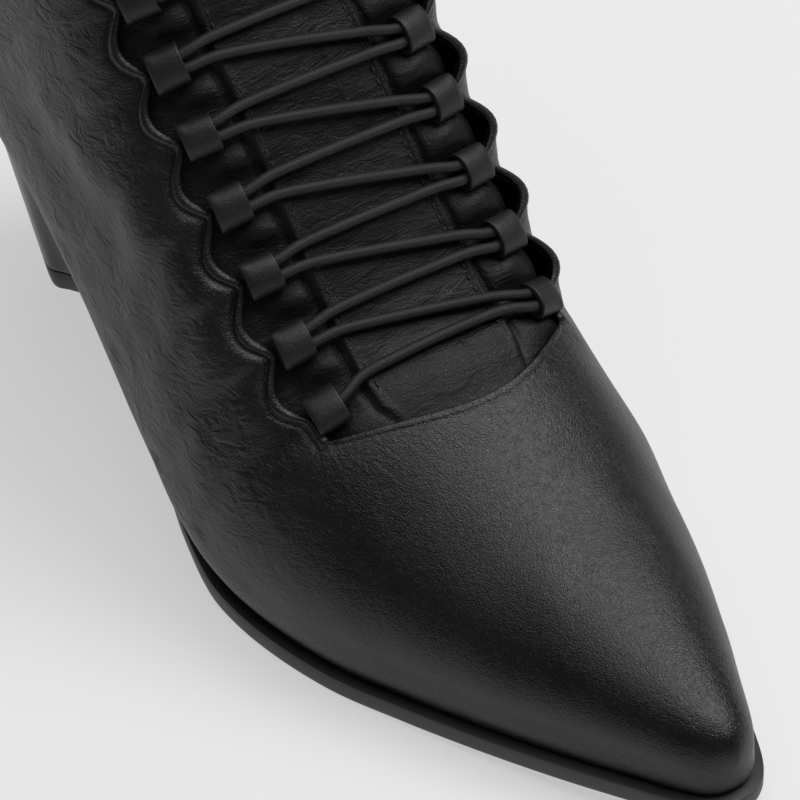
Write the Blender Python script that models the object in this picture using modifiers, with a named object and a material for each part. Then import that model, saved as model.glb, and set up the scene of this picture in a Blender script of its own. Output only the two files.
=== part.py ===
"""Lace-up ankle boot for the right foot, standing on its heel and forefoot.

Metres, +Z up, +Y to the toe and +X to the outer side of the foot. The origin lies on the floor,
under the heel. The upper, tongue, sole, insole and loops are all worked out from one form, the
outside of the upper: a row of sections along the boot, each running from the ridge line at the
front, over the widest point of the side, to the base line. The base line is the edge where the
upper meets the sole, from the toe to the back of the seat, and then the seam up the back.
"""

from collections import namedtuple
from functools import lru_cache

import bpy
import bmesh
import numpy as np

# Driving sizes of the upper
LENGTH = 0.2300  # back of the seat to the tip of the toe, along the floor
HEEL_BACK = 0.0260  # origin to the back of the seat
BALL_WIDTH = 0.0880
INSTEP_HEIGHT = 0.0740
HEEL_HEIGHT = 0.0460  # floor to the underside of the sole at the seat
SHAFT_HEIGHT = 0.1070  # seat to collar at the back
SHAFT_WIDTH = 0.0740
UPPER_WALL = 0.0018
GAP = 0.0003  # between pieces that meet

# Sole, insole and heel
SOLE_THICKNESS = 0.0056
WAIST_THICKNESS = 0.0036
SOLE_LEDGE = 0.0020  # how far the sole stands out round the forefoot
SEAT_LEDGE = 0.0004  # how far it stands out at the waist and seat
LEDGE_DROP = 0.0012  # depth of the groove between the ledge and the upper
GROOVE_INSET = 0.0009  # how far the groove runs in under the upper
TREAD_CHAMFER = 0.0008
INSOLE_THICKNESS = 0.0026
HEEL_WIDTH = 0.0352  # across the heel at the floor
HEEL_DEPTH = 0.0310  # front to back at the floor
HEEL_REACH = 0.0128  # origin to the back of the heel at the floor
SEAT_WIDTH = 0.0500  # across the heel under the sole
SEAT_DEPTH = 0.0496
SEAT_CUT = 0.0090  # how far the cut for the seat runs out past the sole's edge
TOP_PIECE = 0.0050  # thickness of the wearing piece

# Throat, tongue, loops and cord
THROAT_OUT = 0.0276  # origin's axis to the outer edge of the throat at its foot
THROAT_IN = 0.0290  # and to the inner edge
THROAT_TAPER = 0.0023  # how much nearer each edge is at the collar
THROAT_DIP = 0.0075  # how far the foot of the throat bows towards the toe
SCALLOP_DEPTH = 0.0044
LOOP_COUNT = 10
LOOP_PITCH = 0.0148
LOOP_START = 0.0058  # first loop above the corner of the throat
LOOP_WIDTH = 0.0090  # along the throat
LOOP_LENGTH = 0.0068  # across the throat
LOOP_HEIGHT = 0.0046
LOOP_WALL = 0.0009
LOOP_SINK = 0.0006  # underside of a loop below the form
CORD_DIAMETER = 0.0022
CORD_TURN = 0.0015  # radius of the cord's turn inside a loop
CORD_RIDE = 0.0019  # middle of the cord above the form, over the tongue
TONGUE_WALL = 0.0022
TONGUE_RISE = 0.0060  # tongue above the collar
TONGUE_FOOT = 0.0090  # tongue beyond the foot of the throat, under the vamp
TONGUE_LAP = 0.0050  # tongue under the upper beyond the scallops
SEAM_INSET = 0.0115  # raised seam in from the edge of the throat
SEAM_HEIGHT = 0.0008
GUSSET_PUFF = 0.0008  # how far the gusset swells between two loops

COLLECTION = "ankle_boot"
OUTER = 1
INNER = -1
UP = np.array([0.0, 0.0, 1.0])
ACROSS = np.array([1.0, 0.0, 0.0])

# One row for a section, from the toe to the collar. The columns are shares: ridge_y and base_y of
# LENGTH, from the back of the seat; ridge_x and the widths of BALL_WIDTH, or of SHAFT_WIDTH from
# the section CORNER on, from the origin's axis; lift of HEEL_HEIGHT, tall of INSTEP_HEIGHT and
# shaft of SHAFT_HEIGHT. wide_at is how far down from ridge to base the section is widest, square
# how full it is between ridge and side, flare how many degrees the side leans out above the base,
# and turn is 0 where the section comes down on the base line and 1 where it runs into the back
# seam from the side.
Section = namedtuple(
    "Section",
    "ridge_x ridge_y ridge_lift ridge_tall ridge_shaft base_y base_lift base_shaft"
    " base_out base_in wide_out wide_in wide_at square flare turn",
)
SECTIONS = [
    Section(-0.016, 1.000, 0.00, 0.146, 0.00, 1.000, 0.093, 0.0, -0.016, 0.016, -0.016, 0.016, 0.55, 0.55, 6, 0.0),
    Section(-0.017, 0.992, 0.00, 0.205, 0.00, 0.994, 0.089, 0.0, 0.039, 0.068, 0.040, 0.069, 0.58, 0.56, 8, 0.0),
    Section(-0.020, 0.972, 0.00, 0.251, 0.00, 0.974, 0.080, 0.0, 0.083, 0.111, 0.086, 0.115, 0.60, 0.58, 10, 0.0),
    Section(-0.027, 0.930, 0.00, 0.297, 0.00, 0.930, 0.065, 0.0, 0.145, 0.168, 0.150, 0.173, 0.63, 0.60, 12, 0.0),
    Section(-0.034, 0.874, 0.00, 0.349, 0.00, 0.874, 0.046, 0.0, 0.220, 0.240, 0.227, 0.243, 0.66, 0.60, 16, 0.0),
    Section(-0.041, 0.809, 0.00, 0.411, 0.00, 0.809, 0.026, 0.0, 0.299, 0.316, 0.309, 0.319, 0.69, 0.60, 20, 0.0),
    Section(-0.045, 0.743, 0.00, 0.478, 0.00, 0.739, 0.009, 0.0, 0.377, 0.381, 0.391, 0.386, 0.72, 0.60, 24, 0.0),
    Section(-0.050, 0.683, 0.00, 0.559, 0.00, 0.670, 0.000, 0.0, 0.447, 0.427, 0.466, 0.439, 0.74, 0.60, 28, 0.0),
    Section(-0.057, 0.626, 0.00, 0.637, 0.00, 0.600, 0.000, 0.0, 0.486, 0.432, 0.514, 0.452, 0.736, 0.66, 31, 0.0),
    Section(-0.064, 0.574, 0.02, 0.655, 0.00, 0.535, 0.009, 0.0, 0.493, 0.398, 0.532, 0.446, 0.700, 0.86, 34, 0.0),
    Section(-0.068, 0.529, 0.08, 0.722, 0.00, 0.470, 0.082, 0.0, 0.464, 0.345, 0.525, 0.438, 0.663, 1.00, 36, 0.0),
    Section(-0.068, 0.488, 0.20, 0.777, 0.00, 0.400, 0.194, 0.0, 0.407, 0.302, 0.502, 0.432, 0.624, 1.08, 38, 0.0),
    Section(-0.068, 0.444, 0.36, 0.830, 0.00, 0.330, 0.361, 0.0, 0.361, 0.280, 0.473, 0.429, 0.588, 1.12, 40, 0.0),
    Section(-0.066, 0.403, 0.54, 0.871, 0.00, 0.261, 0.546, 0.0, 0.327, 0.273, 0.447, 0.427, 0.555, 1.14, 42, 0.0),
    Section(-0.061, 0.361, 0.72, 0.853, 0.03, 0.191, 0.730, 0.0, 0.307, 0.267, 0.430, 0.426, 0.531, 1.14, 38, 0.0),
    Section(-0.055, 0.327, 0.86, 0.788, 0.11, 0.122, 0.861, 0.0, 0.293, 0.261, 0.418, 0.425, 0.510, 1.13, 32, 0.0),
    Section(-0.048, 0.302, 0.95, 0.649, 0.24, 0.065, 0.937, 0.0, 0.261, 0.239, 0.411, 0.425, 0.502, 1.11, 25, 0.04),
    Section(-0.041, 0.289, 1.00, 0.530, 0.37, 0.024, 0.980, 0.0, 0.176, 0.170, 0.409, 0.425, 0.495, 1.08, 24, 0.22),
    Section(-0.040, 0.285, 1.00, 0.438, 0.50, 0.000, 1.000, 0.0, 0.0, 0.0, 0.486, 0.501, 0.479, 1.05, 20, 0.54),
    Section(-0.035, 0.286, 1.00, 0.383, 0.60, -0.006, 1.000, 0.138, 0.0, 0.0, 0.489, 0.501, 0.466, 1.02, 10, 0.86),
    Section(-0.030, 0.292, 1.00, 0.329, 0.70, 0.002, 1.000, 0.328, 0.0, 0.0, 0.495, 0.502, 0.457, 0.97, 0, 1.0),
    Section(-0.024, 0.300, 1.00, 0.265, 0.80, 0.017, 1.000, 0.534, 0.0, 0.0, 0.500, 0.503, 0.458, 0.92, 0, 1.0),
    Section(-0.019, 0.307, 1.00, 0.185, 0.90, 0.018, 1.000, 0.759, 0.0, 0.0, 0.507, 0.505, 0.468, 0.88, 0, 1.0),
    Section(-0.013, 0.315, 1.00, 0.112, 1.00, 0.010, 1.000, 1.000, 0.0, 0.0, 0.514, 0.508, 0.479, 0.83, 0, 1.0),
]
CORNER = 18  # the section that meets the base line at the back of the seat
COLLAR = len(SECTIONS) - 1
THROAT_FOOT = 8.44  # place among the sections where the throat opens
WAIST_FROM = 9.0  # sole at its full thickness up to here
WAIST_TO = 12.0  # and at its waist thickness from here
SIDE_FULL = 0.50  # fullness of a section on both sides of its widest point
BASE_FULL = 0.42  # and above the base line
FLAT_AT = (7.0, 10.5, 17.5, 23.0)  # places where the front under the loops turns flat across
FLAT_SHARE = (0.0, 1.0, 1.0, 0.2)  # and how much of it applies there
INNER_FULL = 0.45  # how much fuller the inner side is above its widest point where it applies
CROSS_TILT = 0.03  # how far the top is turned about the ridge, with the outer side up
CORNER_EASE = 0.7  # how many sections the bend at the corner of the seat is eased over

# Outline of the heel, half of it, from the middle of the back to the middle of the breast:
# along is the share of the depth, floor and seat are shares of half the width at those levels.
HeelPoint = namedtuple("HeelPoint", "along floor seat")
HEEL_OUTLINE = [
    HeelPoint(0.00, 0.00, 0.00),
    HeelPoint(0.02, 0.36, 0.34),
    HeelPoint(0.09, 0.68, 0.65),
    HeelPoint(0.20, 0.88, 0.87),
    HeelPoint(0.33, 0.98, 0.98),
    HeelPoint(0.42, 1.00, 1.00),
    HeelPoint(0.50, 0.90, 1.00),
    HeelPoint(0.64, 0.77, 0.98),
    HeelPoint(0.82, 0.68, 0.96),
    HeelPoint(0.98, 0.62, 0.93),
    HeelPoint(1.00, 0.52, 0.84),
    HeelPoint(0.985, 0.00, 0.00),
]
HEEL_LEVELS = (0.0, 0.3, 0.65, 1.1)  # shares of the height between top piece and seat

# Colours, roughness and metallic value of the finishes
Finish = namedtuple("Finish", "red green blue roughness metallic")
SMOOTH_LEATHER = Finish(0.016, 0.016, 0.017, 0.42, 0.0)
SOFT_LEATHER = Finish(0.012, 0.012, 0.013, 0.50, 0.0)
LOOP_LEATHER = Finish(0.030, 0.030, 0.031, 0.45, 0.0)
ELASTIC = Finish(0.020, 0.020, 0.021, 0.70, 0.0)
SOLE_RUBBER = Finish(0.035, 0.035, 0.036, 0.55, 0.0)
HEEL_LACQUER = Finish(0.030, 0.031, 0.030, 0.45, 0.0)
SOCK = Finish(0.030, 0.028, 0.026, 0.75, 0.0)


@lru_cache(maxsize=None)
def column(name):
    return np.array([getattr(section, name) for section in SECTIONS], float)


def smooth(values, place, before=None, after=None):
    """A smooth curve through the values, read at a place counted in values."""
    values = np.asarray(values, float)
    last = len(values) - 1
    if before is None:
        before = 2 * values[0] - values[1]
    if after is None:
        after = 2 * values[-1] - values[-2]
    ends = np.concatenate([[before], values, [after]])
    place = np.clip(np.asarray(place, float), 0, last)
    index = np.minimum(place.astype(int), last - 1)
    part = place - index
    a, b, c, d = ends[index], ends[index + 1], ends[index + 2], ends[index + 3]
    return b + 0.5 * part * (c - a + part * (2 * a - 5 * b + 4 * c - d + part * (3 * (b - c) + d - a)))


def level(values, place):
    """A curve through the values that never swings past them, so equal values stay flat."""
    values = np.asarray(values, float)
    step = np.diff(values)
    slope = np.zeros(len(values))
    same_way = step[1:] * step[:-1] > 0
    total = step[1:] + step[:-1]
    slope[1:-1] = np.where(same_way, 2 * step[1:] * step[:-1] / np.where(total == 0, 1, total), 0)
    slope[0] = step[0]
    slope[-1] = step[-1]
    place = np.clip(np.asarray(place, float), 0, len(values) - 1)
    index = np.minimum(place.astype(int), len(values) - 2)
    part = place - index
    rise = 3 * part**2 - 2 * part**3
    return (
        values[index] * (1 - rise)
        + values[index + 1] * rise
        + slope[index] * (part - 2 * part**2 + part**3)
        + slope[index + 1] * (part**3 - part**2)
    )


def unit(vectors):
    return vectors / (np.linalg.norm(vectors, axis=-1, keepdims=True) + 1e-12)


def across_sizes():
    """The width that each section's shares belong to."""
    return np.where(np.arange(len(SECTIONS)) < CORNER, BALL_WIDTH, SHAFT_WIDTH)


def sole_thickness(place):
    return np.interp(place, (WAIST_FROM, WAIST_TO), (SOLE_THICKNESS, WAIST_THICKNESS))


def tread_height(place):
    """Underside of the sole above the floor."""
    return level(column("base_lift")[: CORNER + 1], place) * HEEL_HEIGHT


def base_line(place, side):
    """Points where the sections end: the edge of the bottom, then the seam up the back."""
    place = np.asarray(place, float)
    width = column("base_out" if side == OUTER else "base_in") * across_sizes()
    x = width * side
    y = column("base_y") * LENGTH - HEEL_BACK
    if side == INNER:
        x[0] = -width[0]
    foot_x = smooth(x[: CORNER + 1], place, 2 * x[0] - x[1], -x[CORNER - 1])
    foot_y = smooth(y[: CORNER + 1], place, y[1], y[CORNER - 1])
    foot_z = tread_height(place) + sole_thickness(place) + GAP
    above = np.clip(place - CORNER, 0, None)
    seam_y = smooth(y[CORNER:], above)
    seam_z = HEEL_HEIGHT + WAIST_THICKNESS + GAP + smooth(column("base_shaft")[CORNER:], above) * SHAFT_HEIGHT
    on_foot = place <= CORNER
    return np.stack(
        [np.where(on_foot, foot_x, 0.0), np.where(on_foot, foot_y, seam_y), np.where(on_foot, foot_z, seam_z)],
        axis=-1,
    )


def plan_normal(place, side):
    """Level direction that points out of the base line, seen from above."""
    reach = 0.001
    ahead = np.clip(np.asarray(place, float) + reach, reach, CORNER)
    behind = np.minimum(np.clip(np.asarray(place, float) - reach, 0, CORNER), ahead - reach)
    run = base_line(ahead, side) - base_line(behind, side)
    normal = unit(np.stack([-side * run[..., 1], side * run[..., 0], 0 * run[..., 0]], axis=-1))
    ends = np.sign(CORNER / 2 - np.asarray(place, float))[..., None] * np.array([0.0, 1.0, 0.0])
    at_end = (np.asarray(place, float) <= 0) | (np.asarray(place, float) >= CORNER)
    return np.where(at_end[..., None], ends, normal)


def ridge_line(place):
    """Points of the line down the front, from the toe over the instep to the collar."""
    x = column("ridge_x") * across_sizes()
    y = column("ridge_y") * LENGTH - HEEL_BACK
    z = (
        SOLE_THICKNESS
        + column("ridge_lift") * HEEL_HEIGHT
        + column("ridge_tall") * INSTEP_HEIGHT
        + column("ridge_shaft") * SHAFT_HEIGHT
    )
    return np.stack([smooth(x, place), smooth(y, place, y[1]), smooth(z, place)], axis=-1)


def bezier(points, part):
    part = part[..., None]
    rest = 1 - part
    return (
        points[0] * rest**3
        + 3 * points[1] * rest**2 * part
        + 3 * points[2] * rest * part**2
        + points[3] * part**3
    )


def section_point(place, round_by, side):
    """Points on the bare sections, which have a bend along the one at the corner of the seat."""
    ridge = ridge_line(place)
    base = base_line(place, side)
    wide = column("wide_out" if side == OUTER else "wide_in") * across_sizes() * side
    if side == INNER:
        wide[0] = -column("wide_in")[0] * across_sizes()[0]
    share = smooth(column("wide_at"), place)[..., None]
    widest = ridge + (base - ridge) * share
    widest[..., 0] = smooth(wide, place, 2 * wide[0] - wide[1])
    down = base - ridge
    down[..., 0] = 0
    down = unit(down)
    lean = np.radians(smooth(column("flare"), place))[..., None]
    turn = np.clip(smooth(column("turn"), place), 0, 1)[..., None]
    from_base = UP * np.cos(lean) + plan_normal(place, side) * np.sin(lean)
    from_base = unit(from_base * (1 - turn) + side * ACROSS * turn)
    full = smooth(column("square"), place)[..., None]
    drop = np.linalg.norm((widest - ridge)[..., 1:], axis=-1, keepdims=True)
    fall = np.linalg.norm(base - widest, axis=-1, keepdims=True)
    flat = np.interp(place, FLAT_AT, FLAT_SHARE)
    flat = (3 * flat**2 - 2 * flat**3)[..., None]
    out = (widest - ridge)[..., :1] * full
    shoulder = SIDE_FULL + (INNER_FULL * flat if side == INNER else 0)
    top = (
        ridge,
        ridge + ACROSS * out - down * out * CROSS_TILT * flat,
        widest - down * drop * shoulder,
        widest,
    )
    low = (widest, widest + down * fall * SIDE_FULL, base + from_base * fall * BASE_FULL, base)
    upper_half = bezier(top, np.clip(2 * round_by, 0, 1))
    lower_half = bezier(low, np.clip(2 * round_by - 1, 0, 1))
    return np.where((round_by <= 0.5)[..., None], upper_half, lower_half)


def form(place, round_by, side):
    """Points on the form. round_by is 0 on the ridge, a half at the widest point, 1 at the base."""
    place, round_by = np.broadcast_arrays(np.asarray(place, float), np.asarray(round_by, float))
    spots = section_point(place, round_by, side)
    low_down = np.sqrt(np.sin(np.pi * np.clip(2 * round_by - 1, 0, 1)))
    reach = CORNER_EASE * np.clip(1.8 - abs(place - CORNER), 0, 1) * low_down
    if reach.any():
        spots = spots / 3
        for shift, weight in ((-1.0, 1), (-0.5, 2), (0.5, 2), (1.0, 1)):
            spots = spots + section_point(place + reach * shift, round_by, side) * weight / 9
    return spots


def form_normal(place, round_by, side):
    """Direction out of the form, from small steps to both sides."""
    step = 0.01
    along = form(np.asarray(place) + step, round_by, side) - form(np.asarray(place) - step, round_by, side)
    low = np.clip(np.asarray(round_by) - step, 0, 1)
    high = np.clip(np.asarray(round_by) + step, 0, 1)
    around = form(place, high, side) - form(place, low, side)
    return unit(np.cross(along, around) * side)


def round_at(place, reach, side):
    """How far round a section lies the point of its front half at this distance from the axis."""
    place, reach = np.broadcast_arrays(np.asarray(place, float), np.asarray(reach, float))
    steps = np.linspace(0, 0.5, 81)
    reached = form(place[..., None], steps, side)[..., 0] * side
    found = np.empty(place.shape)
    for index in np.ndindex(place.shape):
        found[index] = np.interp(reach[index], reached[index], steps)
    return found


def round_beyond(place, start, run, side):
    """How far round a section lies the point this far along it from another one."""
    steps = np.linspace(0, 0.8, 161)
    spots = form(np.full(steps.shape, float(place)), steps, side)
    runs = np.concatenate([[0], np.cumsum(np.linalg.norm(np.diff(spots, axis=0), axis=1))])
    return float(np.interp(np.interp(start, steps, runs) + run, runs, steps))


def throat_reach(place, side):
    """Distance from the axis to the straight line that the scallops' points lie on."""
    foot = THROAT_OUT if side == OUTER else THROAT_IN
    return foot - THROAT_TAPER * (np.asarray(place, float) - THROAT_FOOT) / (COLLAR - THROAT_FOOT)


@lru_cache(maxsize=None)
def throat_places(side):
    """A dense row of places up the throat and how far along its edge each one lies."""
    place = np.linspace(THROAT_FOOT, COLLAR, 160)
    edge = form(place, round_at(place, throat_reach(place, side), side), side)
    run = np.concatenate([[0], np.cumsum(np.linalg.norm(np.diff(edge, axis=0), axis=1))])
    return place, run


def place_up_throat(run, side=OUTER):
    places, runs = throat_places(side)
    return np.interp(run, runs, places)


def loop_places():
    return place_up_throat(LOOP_START + LOOP_PITCH * np.arange(LOOP_COUNT))


def scallop(place):
    """How far the edge swings out between two loops, as a share of the scallop's depth."""
    run = np.interp(place, *throat_places(OUTER))
    turns = (run - LOOP_START) / LOOP_PITCH
    inside = (turns > 0) & (turns < LOOP_COUNT - 1)
    return np.where(inside, np.sin(np.pi * np.mod(turns, 1.0)), 0.0)


def finish_material(name, finish):
    material = bpy.data.materials.new(name)
    material.use_nodes = True
    shader = material.node_tree.nodes["Principled BSDF"]
    shader.inputs["Base Color"].default_value = (finish.red, finish.green, finish.blue, 1.0)
    shader.inputs["Roughness"].default_value = finish.roughness
    shader.inputs["Metallic"].default_value = finish.metallic
    material.diffuse_color = (finish.red, finish.green, finish.blue, 1.0)
    return material


def add_mesh(name, points, faces, finish, collection):
    """A mesh object whose doubled points are merged."""
    mesh = bpy.data.meshes.new(name)
    work = bmesh.new()
    corners = [work.verts.new(point) for point in points]
    for face in faces:
        work.faces.new([corners[index] for index in face])
    bmesh.ops.remove_doubles(work, verts=work.verts, dist=1e-6)
    bmesh.ops.dissolve_degenerate(work, dist=1e-7, edges=work.edges)
    loose = [vert for vert in work.verts if not vert.link_faces]
    bmesh.ops.delete(work, geom=loose, context="VERTS")
    work.to_mesh(mesh)
    work.free()
    mesh.shade_smooth()
    thing = bpy.data.objects.new(name, mesh)
    thing.data.materials.append(finish_material(name, finish))
    collection.objects.link(thing)
    return thing


def grid_faces(rows, columns, keep=lambda row, col: True):
    """Faces of a grid of points listed row by row."""
    return [
        (row * columns + col, (row + 1) * columns + col, (row + 1) * columns + col + 1, row * columns + col + 1)
        for row in range(rows - 1)
        for col in range(columns - 1)
        if keep(row, col)
    ]


def tube_faces(rows, columns):
    """Faces of a stack of closed rings, with a flat cap at both ends."""
    sides = [
        (row * columns + col, row * columns + (col + 1) % columns,
         (row + 1) * columns + (col + 1) % columns, (row + 1) * columns + col)
        for row in range(rows - 1)
        for col in range(columns)
    ]
    first = tuple(reversed(range(columns)))
    last = tuple((rows - 1) * columns + col for col in range(columns))
    return sides + [first, last]


def add_wall(thing, thickness):
    solid = thing.modifiers.new("wall", "SOLIDIFY")
    solid.thickness = thickness
    solid.offset = -1
    solid.use_even_offset = True
    solid.use_quality_normals = True


def point_outwards(thing):
    work = bmesh.new()
    work.from_mesh(thing.data)
    bmesh.ops.recalc_face_normals(work, faces=work.faces)
    work.to_mesh(thing.data)
    work.free()


def upper_rows():
    """Places of the upper's rows, and the number of the row at the foot of the throat."""
    vamp = [0, 0.3, 0.7, 1.2, 2, 2.8, 3.6, 4.4, 5.2, 6, 6.8, 7.5, 8.1]
    runs = [0.0]
    quarter = LOOP_PITCH / 4
    runs += [LOOP_START + quarter * step for step in range(4 * (LOOP_COUNT - 1) + 1)]
    top = throat_places(OUTER)[1][-1]
    runs += [(runs[-1] + top) / 2, top]
    throat = place_up_throat(np.array(runs))
    throat[np.argmin(abs(throat - CORNER))] = CORNER
    return np.concatenate([vamp, throat]), len(vamp)


def upper_columns(place, side, middle, flank):
    """How far round each column lies at one place: the middle ones end on the throat's edge."""
    at = max(place, THROAT_FOOT)
    cusp = float(round_at(at, throat_reach(at, side), side))
    from_toe = min(place / 3, 1.0)
    edge = round_beyond(at, cusp, SCALLOP_DEPTH * float(scallop(at)), side)
    edge = edge * from_toe + 0.3 * (1 - from_toe)
    inside = edge * np.arange(middle) / middle
    outside = edge + (1 - edge) * np.linspace(0, 1, flank + 1)
    return np.concatenate([inside, outside])


def dip_towards_toe(place, part):
    """Places shifted so that the foot of the throat bows to the toe in its middle."""
    fade = np.clip((place - THROAT_FOOT + 3.0) / 3.0, 0, 1)
    step = THROAT_DIP / 0.0135  # sections lie about 13.5 mm apart here
    return place - step * (1 - part**2) * fade**2


def make_upper(collection):
    middle, flank = 3, 9
    half = middle + flank
    places, foot_row = upper_rows()
    points = []
    for row, place in enumerate(places):
        sides = {}
        for side in (OUTER, INNER):
            rounds = upper_columns(place, side, middle, flank)
            part = np.minimum(np.arange(half + 1) / middle, 1.0)
            along = dip_towards_toe(place, part) if row <= foot_row else np.full(half + 1, place)
            sides[side] = form(along, rounds, side)
        points += list(sides[INNER][:0:-1]) + list(sides[OUTER])
    columns = 2 * half + 1
    open_from, open_to = half - middle, half + middle
    faces = grid_faces(
        len(places), columns, lambda row, col: row < foot_row or not open_from <= col < open_to
    )
    upper = add_mesh("upper", points, faces, SMOOTH_LEATHER, collection)
    add_wall(upper, UPPER_WALL)
    return upper


def tongue_profile(place, side):
    """Distances round and heights over the form, from the ridge out to the lapped edge."""
    edge = float(throat_reach(place, side))
    ridge = float(ridge_line(place)[0]) * side
    seam = edge - SEAM_INSET
    under = UPPER_WALL + GAP + 0.0002
    swell = GUSSET_PUFF * float(scallop(place)) ** 2
    stations = [
        (ridge + (seam - ridge) * 0.5, 0.0),
        (seam - 0.0012, -SEAM_HEIGHT / 2),
        (seam, SEAM_HEIGHT / 2),
        (seam + 0.0012, -SEAM_HEIGHT),
        (edge - LOOP_LENGTH - 0.0006, swell - under),
        (edge - 0.0030, swell - under),
        (edge + 0.0010, 0.3 * swell - under - GAP),
    ]
    rounds = [0.0] + [float(round_at(place, reach, side)) for reach, _ in stations]
    heights = [0.0] + [height for _, height in stations]
    lap = round_beyond(place, float(round_at(place, edge, side)), SCALLOP_DEPTH + TONGUE_LAP, side)
    return np.array(rounds + [lap]), np.array(heights + [-UPPER_WALL - 6 * GAP])


def make_tongue(collection):
    half_pitch = LOOP_PITCH / 2
    runs = [LOOP_START / 2] + [LOOP_START + half_pitch * step for step in range(2 * (LOOP_COUNT - 1) + 1)]
    top = throat_places(OUTER)[1][-1]
    places = np.concatenate([place_up_throat(np.array(runs)), [COLLAR - 0.05]])
    per_section = 0.0135
    foot = THROAT_FOOT - (THROAT_DIP + TONGUE_FOOT) / per_section
    under_vamp = np.array([foot, THROAT_FOOT - (THROAT_DIP - 0.0014) / per_section, THROAT_FOOT - 0.12])
    beneath = UPPER_WALL + 5 * GAP
    points = []
    rows = list(under_vamp) + list(places) + [COLLAR + 1.0]
    for row, place in enumerate(rows):
        sides = {}
        at = min(max(place, THROAT_FOOT), COLLAR - 0.05)
        for side in (OUTER, INNER):
            rounds, heights = tongue_profile(at, side)
            if row < 2:
                heights = np.full(len(heights), -beneath)
            elif row == 2:
                heights = np.minimum(heights, -beneath * np.array([0.5, 0.6, 0.75, 0.75, 0.9, 1, 1, 1, 1]))
            here = min(place, COLLAR - 0.05)
            spot = form(here, rounds, side)
            spot = spot + form_normal(here, rounds, side) * heights[:, None]
            if place > COLLAR:
                spot = spot + UP * TONGUE_RISE
            sides[side] = spot
        points += list(sides[INNER][:0:-1]) + list(sides[OUTER])
    columns = len(points) // len(rows)
    tongue = add_mesh("tongue", points, grid_faces(len(rows), columns), SOFT_LEATHER, collection)
    add_wall(tongue, TONGUE_WALL)
    return tongue


def outline(place, side, out):
    """Points of the base line moved out of it, seen from above."""
    spot = base_line(place, side) + plan_normal(place, side) * np.asarray(out)[..., None]
    return spot


def bottom_places():
    """Places of the rows of the sole and insole, close together round the toe and the seat."""
    toe = [0, 0.25, 0.6, 1.0, 1.5]
    body = list(np.arange(2, 16.5, 0.75))
    seat = [16.4, 16.9, 17.3, 17.6, 17.85, CORNER]
    return np.array(toe + body + seat)


def sole_body(name, grow, sink, thickness, finish, collection):
    """The sole's solid. With grow and sink it is the clearance that the heel is cut with."""
    places = bottom_places()
    tread = tread_height(places) - sink
    top = base_line(places, OUTER)[:, 2] - GAP
    if thickness:
        top = tread + thickness
    ledge = np.interp(places, (WAIST_FROM, WAIST_TO), (SOLE_LEDGE, SEAT_LEDGE)) + grow
    groove = np.full(len(places), -GROOVE_INSET)
    levels = (
        (groove, top),
        (groove, top - LEDGE_DROP),
        (ledge, top - LEDGE_DROP),
        (ledge, tread + TREAD_CHAMFER),
        (ledge - TREAD_CHAMFER, tread),
    )
    half = {}
    for side in (OUTER, INNER):
        rings = []
        for out, height in levels:
            spots = outline(places, side, out)
            spots[:, 2] = height
            rings.append(spots)
        half[side] = np.stack(rings, axis=1)
    rings = np.concatenate([half[OUTER], half[INNER][:, ::-1]], axis=1)
    columns = rings.shape[1]
    faces = tube_faces(len(places), columns)[:-2]
    sole = add_mesh(name, rings.reshape(-1, 3), faces, finish, collection)
    point_outwards(sole)
    return sole


def make_insole(collection):
    places = bottom_places()
    inset = -(UPPER_WALL + 2 * GAP)
    rings = []
    for side, heights in ((OUTER, (INSOLE_THICKNESS, 0.0)), (INNER, (0.0, INSOLE_THICKNESS))):
        for height in heights:
            spots = outline(places, side, np.full(len(places), inset))
            spots[:, 2] += height
            rings.append(spots)
    points = np.stack(rings, axis=1)
    insole = add_mesh(
        "insole", points.reshape(-1, 3), tube_faces(len(places), points.shape[1])[:-2], SOCK, collection
    )
    point_outwards(insole)
    return insole


def heel_ring(share, height):
    """The heel's outline at a share of the way up from the floor to the seat."""
    mix = min(share, 1.0)
    width = HEEL_WIDTH + (SEAT_WIDTH - HEEL_WIDTH) * share
    depth = HEEL_DEPTH + (SEAT_DEPTH - HEEL_DEPTH) * share
    back = -HEEL_REACH + (HEEL_REACH - HEEL_BACK + SEAT_LEDGE) * share
    half = [
        (width / 2 * (point.floor + (point.seat - point.floor) * mix), back + depth * point.along)
        for point in HEEL_OUTLINE
    ]
    ring = half + [(-x, y) for x, y in half[-2:0:-1]]
    return [(x, y, height) for x, y in ring]


def make_heel(collection, cutters):
    clearance = sole_body("heel_clearance", SEAT_CUT, GAP, HEEL_HEIGHT, SOLE_RUBBER, cutters)
    clearance.hide_render = True
    clearance.display_type = "WIRE"
    foot = TOP_PIECE + GAP
    points = []
    for share in HEEL_LEVELS:
        height = foot + (HEEL_HEIGHT - foot) * share
        points += heel_ring(height / HEEL_HEIGHT, height)
    columns = len(points) // len(HEEL_LEVELS)
    block = add_mesh(
        "heel_block", points, tube_faces(len(HEEL_LEVELS), columns), HEEL_LACQUER, collection
    )
    point_outwards(block)
    cut = block.modifiers.new("seat", "BOOLEAN")
    cut.operation = "DIFFERENCE"
    cut.solver = "EXACT"
    cut.object = clearance
    points = heel_ring(0.0, 0.0) + heel_ring(TOP_PIECE / HEEL_HEIGHT, TOP_PIECE)
    top_piece = add_mesh("heel_top_piece", points, tube_faces(2, columns), SOLE_RUBBER, collection)
    point_outwards(top_piece)
    return block, top_piece


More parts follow.
